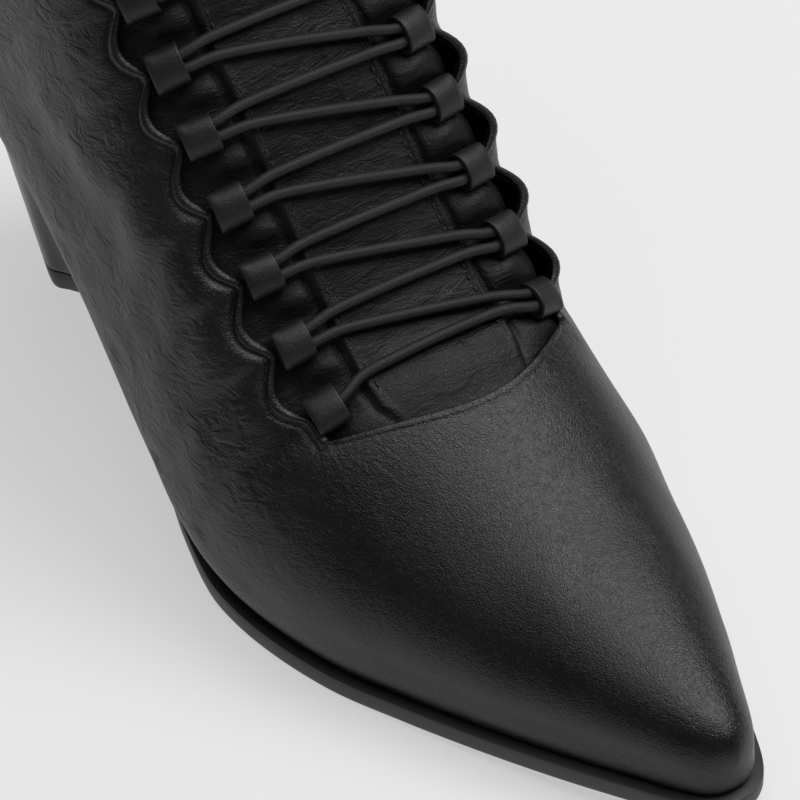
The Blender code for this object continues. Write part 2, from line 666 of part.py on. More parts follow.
def loop_frame(place, side):
    """Origin on the throat's edge, and directions in across the throat, up along it and out."""
    here = float(round_at(place, float(throat_reach(place, side)), side))
    origin = form(place, here, side)
    out = form_normal(place, here, side)
    step = 0.05
    above = round_at(place + step, float(throat_reach(place + step, side)), side)
    below = round_at(place - step, float(throat_reach(place - step, side)), side)
    along = unit(form(place + step, above, side) - form(place - step, below, side))
    into = unit(np.cross(along, out) * side)
    into = into * (1 if into[0] * side < 0 else -1)
    along = unit(along - into * np.dot(along, into))
    out = unit(np.cross(into, along))
    out = out * (1 if np.dot(out, form_normal(place, here, side)) > 0 else -1)
    return origin, into, along, out


def in_frame(frame, into, along, out):
    origin, first, second, third = frame
    return origin + first * into + second * along + third * out


def loop_section(width, height, corner):
    """Corners of a flat ring with cut corners, as pairs along and out."""
    x, y = width / 2, height / 2
    return [
        (x, -y + corner), (x, y - corner), (x - corner, y), (-x + corner, y),
        (-x, y - corner), (-x, -y + corner), (-x + corner, -y), (x - corner, -y),
    ]


def make_loop(name, frame, collection):
    outside = loop_section(LOOP_WIDTH, LOOP_HEIGHT, 0.0012)
    inside = loop_section(LOOP_WIDTH - 2 * LOOP_WALL, LOOP_HEIGHT - 2 * LOOP_WALL, 0.0006)
    middle = LOOP_HEIGHT / 2 - LOOP_SINK
    ends = (1.6 * GAP, GAP + LOOP_LENGTH)
    rings = []
    for ring, end in ((outside, ends[0]), (outside, ends[1]), (inside, ends[1]), (inside, ends[0])):
        rings.append([in_frame(frame, end, along, middle + out) for along, out in ring])
    count = len(outside)
    points = [point for ring in rings for point in ring]
    faces = [
        (row * count + col, row * count + (col + 1) % count,
         (row + 1) % 4 * count + (col + 1) % count, (row + 1) % 4 * count + col)
        for row in range(4)
        for col in range(count)
    ]
    loop = add_mesh(name, points, faces, LOOP_LEATHER, collection)
    point_outwards(loop)
    loop.data.set_sharp_from_angle(angle=0.7)
    return loop


def over_tongue(place, reach):
    """A point of the cord above the form, at this distance to the outer side of the axis."""
    side = OUTER if reach > ridge_line(place)[0] else INNER
    here = float(round_at(place, reach * side, side))
    return form(place, here, side) + form_normal(place, here, side) * CORD_RIDE


def strand(start, end):
    """Points of the cord between the mouths of two loops."""
    (place_a, reach_a), (place_b, reach_b) = start, end
    shares = (0.1, 0.3, 0.5, 0.7, 0.9)
    return [
        over_tongue(place_a + (place_b - place_a) * share, reach_a + (reach_b - reach_a) * share)
        for share in shares
    ]


def turn_in_loop(frame, upwards):
    """Points of the cord into a loop on its lower side and out on its upper side."""
    middle = LOOP_HEIGHT / 2 - LOOP_SINK
    mouth = LOOP_LENGTH + 0.0012
    steps = [(mouth, -1.0), (0.0042, -1.0), (0.0030, 0.0), (0.0042, 1.0), (mouth, 1.0)]
    return [in_frame(frame, into, upwards * CORD_TURN * turn, middle) for into, turn in steps]


def lace_points(frames):
    """The whole cord: across, up, back across, from the lowest outer loop to the highest inner one."""
    middle = LOOP_HEIGHT / 2 - LOOP_SINK
    first = frames[OUTER][0]
    points = [in_frame(first, 0.0032, 0.0, middle), in_frame(first, LOOP_LENGTH + 0.0012, 0.0, middle)]

    def mouth(number, side, turn):
        place = float(place_up_throat(LOOP_START + LOOP_PITCH * number + CORD_TURN * turn))
        return place, side * (float(throat_reach(place, side)) - LOOP_LENGTH)

    for number in range(LOOP_COUNT):
        points += strand(mouth(number, OUTER, 1.0), mouth(number, INNER, -1.0))
        if number == LOOP_COUNT - 1:
            last = frames[INNER][number]
            points += [
                in_frame(last, LOOP_LENGTH + 0.0012, 0.0, middle),
                in_frame(last, 0.0032, 0.0, middle),
            ]
            break
        points += turn_in_loop(frames[INNER][number], 1.0)
        points += strand(mouth(number, INNER, 1.0), mouth(number + 1, OUTER, -1.0))
        points += turn_in_loop(frames[OUTER][number + 1], 1.0)
    return points


def make_lace(frames, collection):
    points = lace_points(frames)
    curve = bpy.data.curves.new("lace", "CURVE")
    curve.dimensions = "3D"
    curve.bevel_depth = CORD_DIAMETER / 2
    curve.bevel_resolution = 2
    curve.use_fill_caps = True
    line = curve.splines.new("POLY")
    line.points.add(len(points) - 1)
    for target, point in zip(line.points, points):
        target.co = (*point, 1.0)
    curve.materials.append(finish_material("lace", ELASTIC))
    lace = bpy.data.objects.new("lace", curve)
    collection.objects.link(lace)
    return lace


def main():
    for thing in list(bpy.data.objects):
        bpy.data.objects.remove(thing)
    collection = bpy.data.collections.new(COLLECTION)
    cutters = bpy.data.collections.new("cutters")
    bpy.context.scene.collection.children.link(collection)
    bpy.context.scene.collection.children.link(cutters)

    make_upper(collection)
    make_tongue(collection)
    make_insole(collection)
    sole_body("outsole", 0.0, 0.0, None, SOLE_RUBBER, collection)
    make_heel(collection, cutters)

    places = loop_places()
    frames = {side: [loop_frame(place, side) for place in places] for side in (OUTER, INNER)}
    for side, word in ((OUTER, "outer"), (INNER, "inner")):
        for number, frame in enumerate(frames[side], start=1):
            make_loop(f"loop_{word}_{number:02d}", frame, collection)
    make_lace(frames, collection)


main()
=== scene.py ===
"""Looks of a lace-up ankle boot: black leather on a pointed last, with a block heel.

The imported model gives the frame. Every visible piece is worked out from the same last as the
solids, closer and with its relief, and stands in for its node. All lengths are in metres, +Z is
up, +Y runs to the toe and +X to the outer side of the right foot.
"""

from __future__ import annotations

import logging
import math
from collections.abc import Iterator
from contextlib import contextmanager
from dataclasses import dataclass
from enum import Enum
from functools import lru_cache

import bpy
import numpy as np
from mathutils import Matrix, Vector
from mathutils.kdtree import KDTree

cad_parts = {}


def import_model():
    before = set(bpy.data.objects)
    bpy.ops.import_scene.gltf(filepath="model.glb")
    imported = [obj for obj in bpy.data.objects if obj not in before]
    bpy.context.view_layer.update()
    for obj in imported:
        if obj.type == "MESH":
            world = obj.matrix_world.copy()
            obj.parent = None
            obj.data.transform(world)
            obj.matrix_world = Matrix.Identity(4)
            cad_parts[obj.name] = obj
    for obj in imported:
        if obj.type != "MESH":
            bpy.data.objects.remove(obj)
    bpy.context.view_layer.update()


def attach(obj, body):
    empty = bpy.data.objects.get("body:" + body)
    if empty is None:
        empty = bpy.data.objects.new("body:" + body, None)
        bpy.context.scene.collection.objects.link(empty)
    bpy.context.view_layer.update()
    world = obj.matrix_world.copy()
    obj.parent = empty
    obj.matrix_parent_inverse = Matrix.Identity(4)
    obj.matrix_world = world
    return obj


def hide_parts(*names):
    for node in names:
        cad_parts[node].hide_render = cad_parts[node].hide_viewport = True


LOG = logging.getLogger("ankle_boot")
Array = np.ndarray
Thing = bpy.types.Object
Triple = tuple[float, float, float]
UP = np.array([0.0, 0.0, 1.0])
ACROSS = np.array([1.0, 0.0, 0.0])


class Side(Enum):
    """The two sides of the right foot, as the sign of X."""

    OUTER = 1
    INNER = -1

    @property
    def word(self) -> str:
        """The side's word in the names of nodes."""
        return self.name.lower()


SIDES = (Side.OUTER, Side.INNER)

# The form. Places along the boot are counted in sections from the toe.
THIN_AT = (9.0, 12.0)  # the sole thins to its waist between these
FLAT_AT = (7.0, 10.5, 17.5, 23.0)  # the front turns flat across under the laces
FLAT_SHARE = (0.0, 1.0, 1.0, 0.2)
SIDE_FULL = 0.5  # how upright the sides stay at the widest point
BASE_FULL = 0.42  # and at the base
EASE_SPAN = 1.8  # sections on each side of the seat's corner that are eased
EASE_REACH = 0.7
VAMP_PITCH = 0.0135  # metres from one section to the next on the vamp
VAMP_FADE = 3.0  # sections ahead of the throat that bow with its foot

# Heights over the leather, from each edge inwards.
EDGE_BAND = 0.0040  # the rolled top and the plain strip beside the sole
FOOT_NARROWER, FOOT_ROLL, TOP_ROLL = 1.5, 0.13, 0.5  # the roll at the throat's foot and at the top
CALM_FROM, CALM_TO = 0.0015, 0.0130  # the leather is calmer near the rolled edge


def unit(vectors: Array) -> Array:
    """Vectors of length one along the last axis."""
    return vectors / (np.linalg.norm(vectors, axis=-1, keepdims=True) + 1e-12)


def smooth(values: Array, place: Array, before: float | None = None, after: float | None = None) -> Array:
    """A smooth curve through evenly spaced values.

    Args:
        values: the values, one for each section.
        place: where to read the curve, counted in values.
        before: a ghost value ahead of the first one.
        after: a ghost value behind the last one.

    Returns:
        The curve's value at each place.
    """
    values = np.asarray(values, float)
    last = len(values) - 1
    first = 2 * values[0] - values[1] if before is None else before
    final = 2 * values[-1] - values[-2] if after is None else after
    ends = np.concatenate([[first], values, [final]])
    place = np.clip(np.asarray(place, float), 0, last)
    index = np.minimum(place.astype(int), last - 1)
    part = place - index
    a, b, c, d = ends[index], ends[index + 1], ends[index + 2], ends[index + 3]
    return b + 0.5 * part * (c - a + part * (2 * a - 5 * b + 4 * c - d + part * (3 * (b - c) + d - a)))


def level(values: Array, place: Array) -> Array:
    """A curve through the values that never swings past them, so equal values stay flat."""
    values = np.asarray(values, float)
    step = np.diff(values)
    slope = np.zeros(len(values))
    total = step[1:] + step[:-1]
    same_way = step[1:] * step[:-1] > 0
    slope[1:-1] = np.where(same_way, 2 * step[1:] * step[:-1] / np.where(total == 0, 1, total), 0)
    slope[0], slope[-1] = step[0], step[-1]
    place = np.clip(np.asarray(place, float), 0, len(values) - 1)
    index = np.minimum(place.astype(int), len(values) - 2)
    part = place - index
    rise = 3 * part**2 - 2 * part**3
    kept = values[index] * (1 - rise) + values[index + 1] * rise
    return kept + slope[index] * (part - 2 * part**2 + part**3) + slope[index + 1] * (part**3 - part**2)


def cubic(points: tuple[Array, ...], part: Array) -> Array:
    """Points on the cubic curve that four points pull."""
    part = np.clip(part, 0, 1)[..., None]
    rest = 1 - part
    return (
        points[0] * rest**3 + 3 * points[1] * rest**2 * part + 3 * points[2] * rest * part**2 + points[3] * part**3
    )


def run_along(points: Array, axis: int = 0) -> Array:
    """Distance run through the points of a line or a net, from 0 along one axis."""
    steps = np.linalg.norm(np.diff(points, axis=axis), axis=-1)
    return np.concatenate([np.zeros_like(np.take(steps, [0], axis)), np.cumsum(steps, axis=axis)], axis=axis)


def both(halves: dict[Side, Array]) -> Array:
    """One net from two halves, from the inner base over the ridge to the outer base."""
    return np.concatenate([halves[Side.INNER][:, :0:-1], halves[Side.OUTER]], axis=1)


def ramp(values: Array, low: float, high: float) -> Array:
    """A soft step from 0 at low to 1 at high."""
    part = np.clip((values - low) / (high - low), 0, 1)
    return part * part * (3 - 2 * part)


def swell(values: Array, middle: float, width: float) -> Array:
    """A soft hump of height one, a width wide on each side of its middle."""
    return np.exp(-(((values - middle) / width) ** 2))


def mottle(across: Array, along: Array, seed: int) -> Array:
    """Soft seeded noise from -1 to 1 whose lumps are one unit wide."""

    def chance(i: Array, j: Array) -> Array:
        mixed = np.sin(i * 127.1 + j * 311.7 + seed * 74.7) * 43758.5453
        return (mixed - np.floor(mixed)) * 2 - 1

    i, j = np.floor(across), np.floor(along)
    u, w = across - i, along - j
    u, w = u * u * (3 - 2 * u), w * w * (3 - 2 * w)
    low = chance(i, j) * (1 - u) + chance(i + 1, j) * u
    high = chance(i, j + 1) * (1 - u) + chance(i + 1, j + 1) * u
    return low * (1 - w) + high * w


@dataclass(frozen=True)
class Section:
    """One section of the last, in shares of its named sizes."""

    ridge_x: float
    ridge_y: float
    ridge_lift: float
    ridge_tall: float
    ridge_shaft: float
    base_y: float
    base_lift: float
    base_shaft: float
    base_out: float
    base_in: float
    wide_out: float
    wide_in: float
    wide_at: float
    square: float
    flare: float
    turn: float


SECTIONS = tuple(
    Section(*row)
    for row in (
        (-0.016, 1.000, 0.00, 0.146, 0.00, 1.000, 0.093, 0.0, -0.016, 0.016, -0.016, 0.016, 0.55, 0.55, 6, 0.0),
        (-0.017, 0.992, 0.00, 0.205, 0.00, 0.994, 0.089, 0.0, 0.039, 0.068, 0.040, 0.069, 0.58, 0.56, 8, 0.0),
        (-0.020, 0.972, 0.00, 0.251, 0.00, 0.974, 0.080, 0.0, 0.083, 0.111, 0.086, 0.115, 0.60, 0.58, 10, 0.0),
        (-0.027, 0.930, 0.00, 0.297, 0.00, 0.930, 0.065, 0.0, 0.145, 0.168, 0.150, 0.173, 0.63, 0.60, 12, 0.0),
        (-0.034, 0.874, 0.00, 0.349, 0.00, 0.874, 0.046, 0.0, 0.220, 0.240, 0.227, 0.243, 0.66, 0.60, 16, 0.0),
        (-0.041, 0.809, 0.00, 0.411, 0.00, 0.809, 0.026, 0.0, 0.299, 0.316, 0.309, 0.319, 0.69, 0.60, 20, 0.0),
        (-0.045, 0.743, 0.00, 0.478, 0.00, 0.739, 0.009, 0.0, 0.377, 0.381, 0.391, 0.386, 0.72, 0.60, 24, 0.0),
        (-0.050, 0.683, 0.00, 0.559, 0.00, 0.670, 0.000, 0.0, 0.447, 0.427, 0.466, 0.439, 0.74, 0.60, 28, 0.0),
        (-0.057, 0.626, 0.00, 0.637, 0.00, 0.600, 0.000, 0.0, 0.486, 0.432, 0.514, 0.452, 0.736, 0.66, 31, 0.0),
        (-0.064, 0.574, 0.02, 0.655, 0.00, 0.535, 0.009, 0.0, 0.493, 0.398, 0.532, 0.446, 0.700, 0.86, 34, 0.0),
        (-0.068, 0.529, 0.08, 0.722, 0.00, 0.470, 0.082, 0.0, 0.464, 0.345, 0.525, 0.438, 0.663, 1.00, 36, 0.0),
        (-0.068, 0.488, 0.20, 0.777, 0.00, 0.400, 0.194, 0.0, 0.407, 0.302, 0.502, 0.432, 0.624, 1.08, 38, 0.0),
        (-0.068, 0.444, 0.36, 0.830, 0.00, 0.330, 0.361, 0.0, 0.361, 0.280, 0.473, 0.429, 0.588, 1.12, 40, 0.0),
        (-0.066, 0.403, 0.54, 0.871, 0.00, 0.261, 0.546, 0.0, 0.327, 0.273, 0.447, 0.427, 0.555, 1.14, 42, 0.0),
        (-0.061, 0.361, 0.72, 0.853, 0.03, 0.191, 0.730, 0.0, 0.307, 0.267, 0.430, 0.426, 0.531, 1.14, 38, 0.0),
        (-0.055, 0.327, 0.86, 0.788, 0.11, 0.122, 0.861, 0.0, 0.293, 0.261, 0.418, 0.425, 0.510, 1.13, 32, 0.0),
        (-0.048, 0.302, 0.95, 0.649, 0.24, 0.065, 0.937, 0.0, 0.261, 0.239, 0.411, 0.425, 0.502, 1.11, 25, 0.04),
        (-0.041, 0.289, 1.00, 0.530, 0.37, 0.024, 0.980, 0.0, 0.176, 0.170, 0.409, 0.425, 0.495, 1.08, 24, 0.22),
        (-0.040, 0.285, 1.00, 0.438, 0.50, 0.000, 1.000, 0.0, 0.0, 0.0, 0.486, 0.501, 0.479, 1.05, 20, 0.54),
        (-0.035, 0.286, 1.00, 0.383, 0.60, -0.006, 1.000, 0.138, 0.0, 0.0, 0.489, 0.501, 0.466, 1.02, 10, 0.86),
        (-0.030, 0.292, 1.00, 0.329, 0.70, 0.002, 1.000, 0.328, 0.0, 0.0, 0.495, 0.502, 0.457, 0.97, 0, 1.0),
        (-0.024, 0.300, 1.00, 0.265, 0.80, 0.017, 1.000, 0.534, 0.0, 0.0, 0.500, 0.503, 0.458, 0.92, 0, 1.0),
        (-0.019, 0.307, 1.00, 0.185, 0.90, 0.018, 1.000, 0.759, 0.0, 0.0, 0.507, 0.505, 0.468, 0.88, 0, 1.0),
        (-0.013, 0.315, 1.00, 0.112, 1.00, 0.010, 1.000, 1.000, 0.0, 0.0, 0.514, 0.508, 0.479, 0.83, 0, 1.0),
    )
)


@dataclass(frozen=True)
class Last:
    """The form that the boot is built on, with the throat and its row of loops."""

    length: float = 0.2300
    heel_back: float = 0.0260
    ball_width: float = 0.0880
    instep_height: float = 0.0740
    heel_height: float = 0.0460
    shaft_height: float = 0.1070
    shaft_width: float = 0.0740
    sole_thickness: float = 0.0056
    waist_thickness: float = 0.0036
    gap: float = 0.0003
    wall: float = 0.0018
    corner: int = 18
    collar: int = 23
    throat_foot: float = 8.44
    throat_out: float = 0.0276
    throat_in: float = 0.0290
    throat_taper: float = 0.0023
    throat_dip: float = 0.0105
    scallop_depth: float = 0.0044
    inner_full: float = 0.45
    cross_tilt: float = 0.03
    loop_count: int = 10
    loop_pitch: float = 0.0148
    loop_start: float = 0.0058

    @lru_cache(maxsize=None)
    def column(self, name: str) -> Array:
        """One column of the table of sections."""
        return np.array([getattr(section, name) for section in SECTIONS], float)

    def across_sizes(self) -> Array:
        """The width that each section's shares belong to."""
        return np.where(np.arange(len(SECTIONS)) < self.corner, self.ball_width, self.shaft_width)

    def sole_at(self, place: Array) -> Array:
        """Thickness of the sole."""
        return np.interp(place, THIN_AT, (self.sole_thickness, self.waist_thickness))

    def tread(self, place: Array) -> Array:
        """Height of the sole's underside above the floor."""
        return level(self.column("base_lift")[: self.corner + 1], place) * self.heel_height

    def base(self, place: Array, side: Side) -> Array:
        """Points of the edge of the bottom, and of the seam up the back beyond the corner."""
        place = np.asarray(place, float)
        corner = self.corner
        x = self.column("base_out" if side is Side.OUTER else "base_in") * self.across_sizes() * side.value
        y = self.column("base_y") * self.length - self.heel_back
        foot_x = smooth(x[: corner + 1], place, 2 * x[0] - x[1], -x[corner - 1])
        foot_y = smooth(y[: corner + 1], place, y[1], y[corner - 1])
        foot_z = self.tread(place) + self.sole_at(place) + self.gap
        above = np.clip(place - corner, 0, None)
        shaft = smooth(self.column("base_shaft")[corner:], above) * self.shaft_height
        seam_z = self.heel_height + self.waist_thickness + self.gap + shaft
        pairs = ((foot_x, 0.0), (foot_y, smooth(y[corner:], above)), (foot_z, seam_z))
        return np.stack([np.where(place <= corner, foot, seam) for foot, seam in pairs], axis=-1)

    def plan_normal(self, place: Array, side: Side) -> Array:
        """Level direction out of the base line, seen from above."""
        reach = 0.001
        place = np.asarray(place, float)
        ahead = np.clip(place + reach, reach, self.corner)
        behind = np.minimum(np.clip(place - reach, 0, self.corner), ahead - reach)
        run = self.base(ahead, side) - self.base(behind, side)
        sign = side.value
        normal = unit(np.stack([-sign * run[..., 1], sign * run[..., 0], 0 * run[..., 0]], axis=-1))
        ends = np.sign(self.corner / 2 - place)[..., None] * np.array([0.0, 1.0, 0.0])
        at_end = (place <= 0) | (place >= self.corner)
        return np.where(at_end[..., None], ends, normal)

    def ridge(self, place: Array) -> Array:
        """Points of the line down the front, from the toe over the instep to the collar."""
        x = self.column("ridge_x") * self.across_sizes()
        y = self.column("ridge_y") * self.length - self.heel_back
        z = (
            self.sole_thickness
            + self.column("ridge_lift") * self.heel_height
            + self.column("ridge_tall") * self.instep_height
            + self.column("ridge_shaft") * self.shaft_height
        )
        return np.stack([smooth(x, place), smooth(y, place, y[1]), smooth(z, place)], axis=-1)

    def bare(self, place: Array, turn_round: Array, side: Side) -> Array:
        """Points on the bare sections: 0 on the ridge, a half at the widest point, 1 at the base."""
        ridge = self.ridge(place)
        base = self.base(place, side)
        wide = self.column("wide_out" if side is Side.OUTER else "wide_in") * self.across_sizes() * side.value
        widest = ridge + (base - ridge) * smooth(self.column("wide_at"), place)[..., None]
        widest[..., 0] = smooth(wide, place, 2 * wide[0] - wide[1])
        down = base - ridge
        down[..., 0] = 0
        down = unit(down)
        lean = np.radians(smooth(self.column("flare"), place))[..., None]
        turn = np.clip(smooth(self.column("turn"), place), 0, 1)[..., None]
        from_base = UP * np.cos(lean) + self.plan_normal(place, side) * np.sin(lean)
        from_base = unit(from_base * (1 - turn) + side.value * ACROSS * turn)
        drop = np.linalg.norm((widest - ridge)[..., 1:], axis=-1, keepdims=True)
        fall = np.linalg.norm(base - widest, axis=-1, keepdims=True)
        flat = np.interp(place, FLAT_AT, FLAT_SHARE)
        flat = (3 * flat**2 - 2 * flat**3)[..., None]
        out = (widest - ridge)[..., :1] * smooth(self.column("square"), place)[..., None]
        over = ridge + ACROSS * out - down * out * self.cross_tilt * flat
        shoulder = SIDE_FULL + (self.inner_full * flat if side is Side.INNER else 0)
        top = (ridge, over, widest - down * drop * shoulder, widest)
        low = (widest, widest + down * fall * SIDE_FULL, base + from_base * fall * BASE_FULL, base)
        on_top = (turn_round <= 0.5)[..., None]
        return np.where(on_top, cubic(top, 2 * turn_round), cubic(low, 2 * turn_round - 1))

    def form(self, place: Array, turn_round: Array, side: Side) -> Array:
        """Points on the form, with the bend at the corner of the seat eased.

        Args:
            place: where along the boot, counted in sections from the toe.
            turn_round: how far round the section, from 0 on the ridge to 1 at the base.
            side: which half of the boot.

        Returns:
            The points, in metres.
        """
        place, turn_round = np.broadcast_arrays(np.asarray(place, float), np.asarray(turn_round, float))
        spots = self.bare(place, turn_round, side)
        low_down = np.sqrt(np.sin(np.pi * np.clip(2 * turn_round - 1, 0, 1)))
        reach = EASE_REACH * np.clip(EASE_SPAN - abs(place - self.corner), 0, 1) * low_down
        if reach.any():
            spots = spots / 3
            for shift, weight in ((-1.0, 1), (-0.5, 2), (0.5, 2), (1.0, 1)):
                spots = spots + self.bare(place + reach * shift, turn_round, side) * weight / 9
        return spots

    def normal(self, place: Array, turn_round: Array, side: Side) -> Array:
        """Direction out of the form."""
        step = 0.01
        place, turn_round = np.asarray(place, float), np.asarray(turn_round, float)
        along = self.form(place + step, turn_round, side) - self.form(place - step, turn_round, side)
        high, low = np.clip(turn_round + step, 0, 1), np.clip(turn_round - step, 0, 1)
        around = self.form(place, high, side) - self.form(place, low, side)
        return unit(np.cross(along, around) * side.value)

    def round_at(self, place: Array, reach: Array, side: Side) -> Array:
        """How far round lies the point of the front half at this distance from the axis."""
        place, reach = np.broadcast_arrays(np.asarray(place, float), np.asarray(reach, float))
        steps = np.linspace(0, 0.5, 81)
        reached = self.form(place[..., None], steps, side)[..., 0] * side.value
        found = np.empty(place.shape)
        for index in np.ndindex(place.shape):
            found[index] = np.interp(reach[index], reached[index], steps)
        return found

    def throat_reach(self, place: Array, side: Side) -> Array:
        """Distance from the axis to the line that the loops sit on."""
        foot = self.throat_out if side is Side.OUTER else self.throat_in
        share = (np.asarray(place, float) - self.throat_foot) / (self.collar - self.throat_foot)
        return foot - self.throat_taper * share

    @lru_cache(maxsize=None)
    def throat(self) -> tuple[Array, Array]:
        """Places up the throat and the length of its outer edge up to each."""
        place = np.linspace(self.throat_foot, self.collar, 160)
        reach = self.throat_reach(place, Side.OUTER)
        edge = self.form(place, self.round_at(place, reach, Side.OUTER), Side.OUTER)
        return place, run_along(edge)

    def place_up(self, run: Array) -> Array:
        """Place that lies this far up the throat's edge."""
        return np.interp(run, *reversed(self.throat()))

    def turns(self, place: Array) -> Array:
        """Place along the throat counted in loops, 0 at the lowest one."""
        return (np.interp(place, *self.throat()) - self.loop_start) / self.loop_pitch

    def scallop(self, place: Array) -> Array:
        """How far the edge swings out between two loops, from 0 to 1."""
        turns = self.turns(place)
        inside = (turns > 0) & (turns < self.loop_count - 1)
        return np.where(inside, np.sin(np.pi * np.mod(turns, 1.0)), 0.0)

    def dip(self, place: Array, part: Array) -> Array:
        """Places shifted so that the foot of the throat bows to the toe in its middle."""
        fade = np.clip((place - self.throat_foot + VAMP_FADE) / VAMP_FADE, 0, 1)
        return place - self.throat_dip / VAMP_PITCH * (1 - part**2) * fade**2

    def loop_frame(self, number: int, side: Side) -> Array:
        """Origin of a loop on the throat's edge, and its directions inwards, upwards and out."""
        place = float(self.place_up(self.loop_start + self.loop_pitch * number))
        step = 0.05
        here, above, below = (
            float(self.round_at(spot, self.throat_reach(spot, side), side))
            for spot in (place, place + step, place - step)
        )
        out = self.normal(place, here, side)
        along = unit(self.form(place + step, above, side) - self.form(place - step, below, side))
        into = unit(np.cross(along, out))
        into = into * (-1 if into[0] * side.value > 0 else 1)
        along = unit(along - into * np.dot(along, into))
        outward = unit(np.cross(into, along))
        outward = outward * (1 if np.dot(outward, out) > 0 else -1)
        return np.array([self.form(place, here, side), into, along, outward])


class Modeller:
    """The steps that the meshes go through, done with Blender's own operators."""

    @staticmethod
    def clear() -> None:
        """Deselect every object and leave edit mode."""
        if bpy.context.object and bpy.context.object.mode != "OBJECT":
            bpy.ops.object.mode_set(mode="OBJECT")
        bpy.ops.object.select_all(action="DESELECT")

    @staticmethod
    def only(thing: Thing) -> None:
        """Select one object and make it active."""
        Modeller.clear()
        thing.select_set(True)
        bpy.context.view_layer.objects.active = thing

    @staticmethod
    def sheet(name: str, points: Array, chart: Array | None = None, hole: Array | None = None) -> Thing:
        """A grid primitive laid over a net of points.

        Args:
            name: the object's name.
            points: the net, rows by columns by three.
            chart: two numbers for each point, kept as the UV map.
            hole: True for each face of the net that is left out.

        Returns:
            The object, at the origin.
        """
        rows, columns = points.shape[:2]
        Modeller.clear()
        bpy.ops.mesh.primitive_grid_add(x_subdivisions=columns - 1, y_subdivisions=rows - 1, size=2)
        thing = bpy.context.object
        thing.name = thing.data.name = name
        mesh = thing.data
        flat = np.empty(len(mesh.vertices) * 3)
        mesh.vertices.foreach_get("co", flat)
        flat = flat.reshape(-1, 3)
        col = np.rint((flat[:, 0] + 1) / 2 * (columns - 1)).astype(int)
        row = np.rint((flat[:, 1] + 1) / 2 * (rows - 1)).astype(int)
        mesh.vertices.foreach_set("co", points[row, col].ravel())
        if chart is not None:
            corners = np.empty(len(mesh.loops), int)
            mesh.loops.foreach_get("vertex_index", corners)
            mesh.uv_layers[0].data.foreach_set("uv", chart[row, col][corners].ravel())
        if hole is not None and hole.any():
            middle = np.empty(len(mesh.polygons) * 4, int)
            mesh.polygons.foreach_get("vertices", middle)
            middle = middle.reshape(-1, 4)
            face_row, face_col = row[middle].min(axis=1), col[middle].min(axis=1)
            bpy.ops.object.mode_set(mode="EDIT")
            bpy.ops.mesh.select_all(action="DESELECT")
            bpy.ops.object.mode_set(mode="OBJECT")
            mesh.polygons.foreach_set("select", hole[face_row, face_col])
            bpy.ops.object.mode_set(mode="EDIT")
            bpy.ops.mesh.select_mode(type="FACE")
            bpy.ops.mesh.delete(type="FACE")
            bpy.ops.object.mode_set(mode="OBJECT")
        mesh.update()
        return thing

    @staticmethod
    @contextmanager
    def editing(thing: Thing) -> Iterator[None]:
        """Edit mode on one object with everything selected."""
        Modeller.only(thing)
        bpy.ops.object.mode_set(mode="EDIT")
        bpy.ops.mesh.select_all(action="SELECT")
        yield
        bpy.ops.object.mode_set(mode="OBJECT")

    @staticmethod
    def close(thing: Thing, distance: float = 2e-6) -> None:
        """Merge doubled points and turn the faces outwards."""
        with Modeller.editing(thing):
            bpy.ops.mesh.remove_doubles(threshold=distance)
            bpy.ops.mesh.normals_make_consistent(inside=False)

    @staticmethod
    def body(name: str, points: Array, angle: float, chart: Array | None = None, distance: float = 2e-6) -> Thing:
        """A closed body laid over a net, with its open ends filled and its edges shaded.

        Args:
            name: the object's name.
            points: the net, rows by columns by three.
            angle: edges sharper than this many degrees stay sharp.
            chart: two numbers for each point, kept as the UV map.
            distance: points closer than this are merged.

        Returns:
            The object, at the origin.
        """
        thing = Modeller.sheet(name, points, chart)
        Modeller.close(thing, distance)
        with Modeller.editing(thing):
            bpy.ops.mesh.fill_holes(sides=0)
            bpy.ops.mesh.normals_make_consistent(inside=False)
        Modeller.smooth_off(thing, angle)
        return thing

    @staticmethod
    def face_away(thing: Thing, middle: Array) -> None:
        """Turn an open sheet so that its faces point away from a point."""
        faces = thing.data.polygons
        centres, normals = np.empty(len(faces) * 3), np.empty(len(faces) * 3)
        faces.foreach_get("center", centres)
        faces.foreach_get("normal", normals)
        if ((centres.reshape(-1, 3) - middle) * normals.reshape(-1, 3)).sum() < 0:
            with Modeller.editing(thing):
                bpy.ops.mesh.flip_normals()

    @staticmethod
    def wall(thing: Thing, thickness: float, inner_slot: int = 0) -> None:
        """Give an open sheet a wall on its inner side and apply it."""
        Modeller.only(thing)
        solid = thing.modifiers.new("wall", "SOLIDIFY")
        solid.thickness = thickness
        solid.offset = -1
        solid.use_quality_normals = True
        solid.material_offset = inner_slot
        bpy.ops.object.modifier_apply(modifier=solid.name)

    @staticmethod
    def smooth_off(thing: Thing, angle: float | None = None) -> None:
        """Shade smooth, with edges sharper than an angle kept."""
        Modeller.only(thing)
        if angle is None:
            bpy.ops.object.shade_smooth()
        else:
            bpy.ops.object.shade_smooth_by_angle(angle=math.radians(angle))

    @staticmethod
    def finish(thing: Thing, slot: str, nodes: tuple[str, ...], *finishes: bpy.types.Material) -> None:
        """Dress a piece, let it ride on the boot and stand in for its nodes."""
        thing.data.materials.clear()
        for finish in finishes:
            thing.data.materials.append(finish)
        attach(thing, "root")
        if nodes:
            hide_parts(*nodes)
        LOG.info("%s: %d faces", thing.name, len(thing.data.polygons))


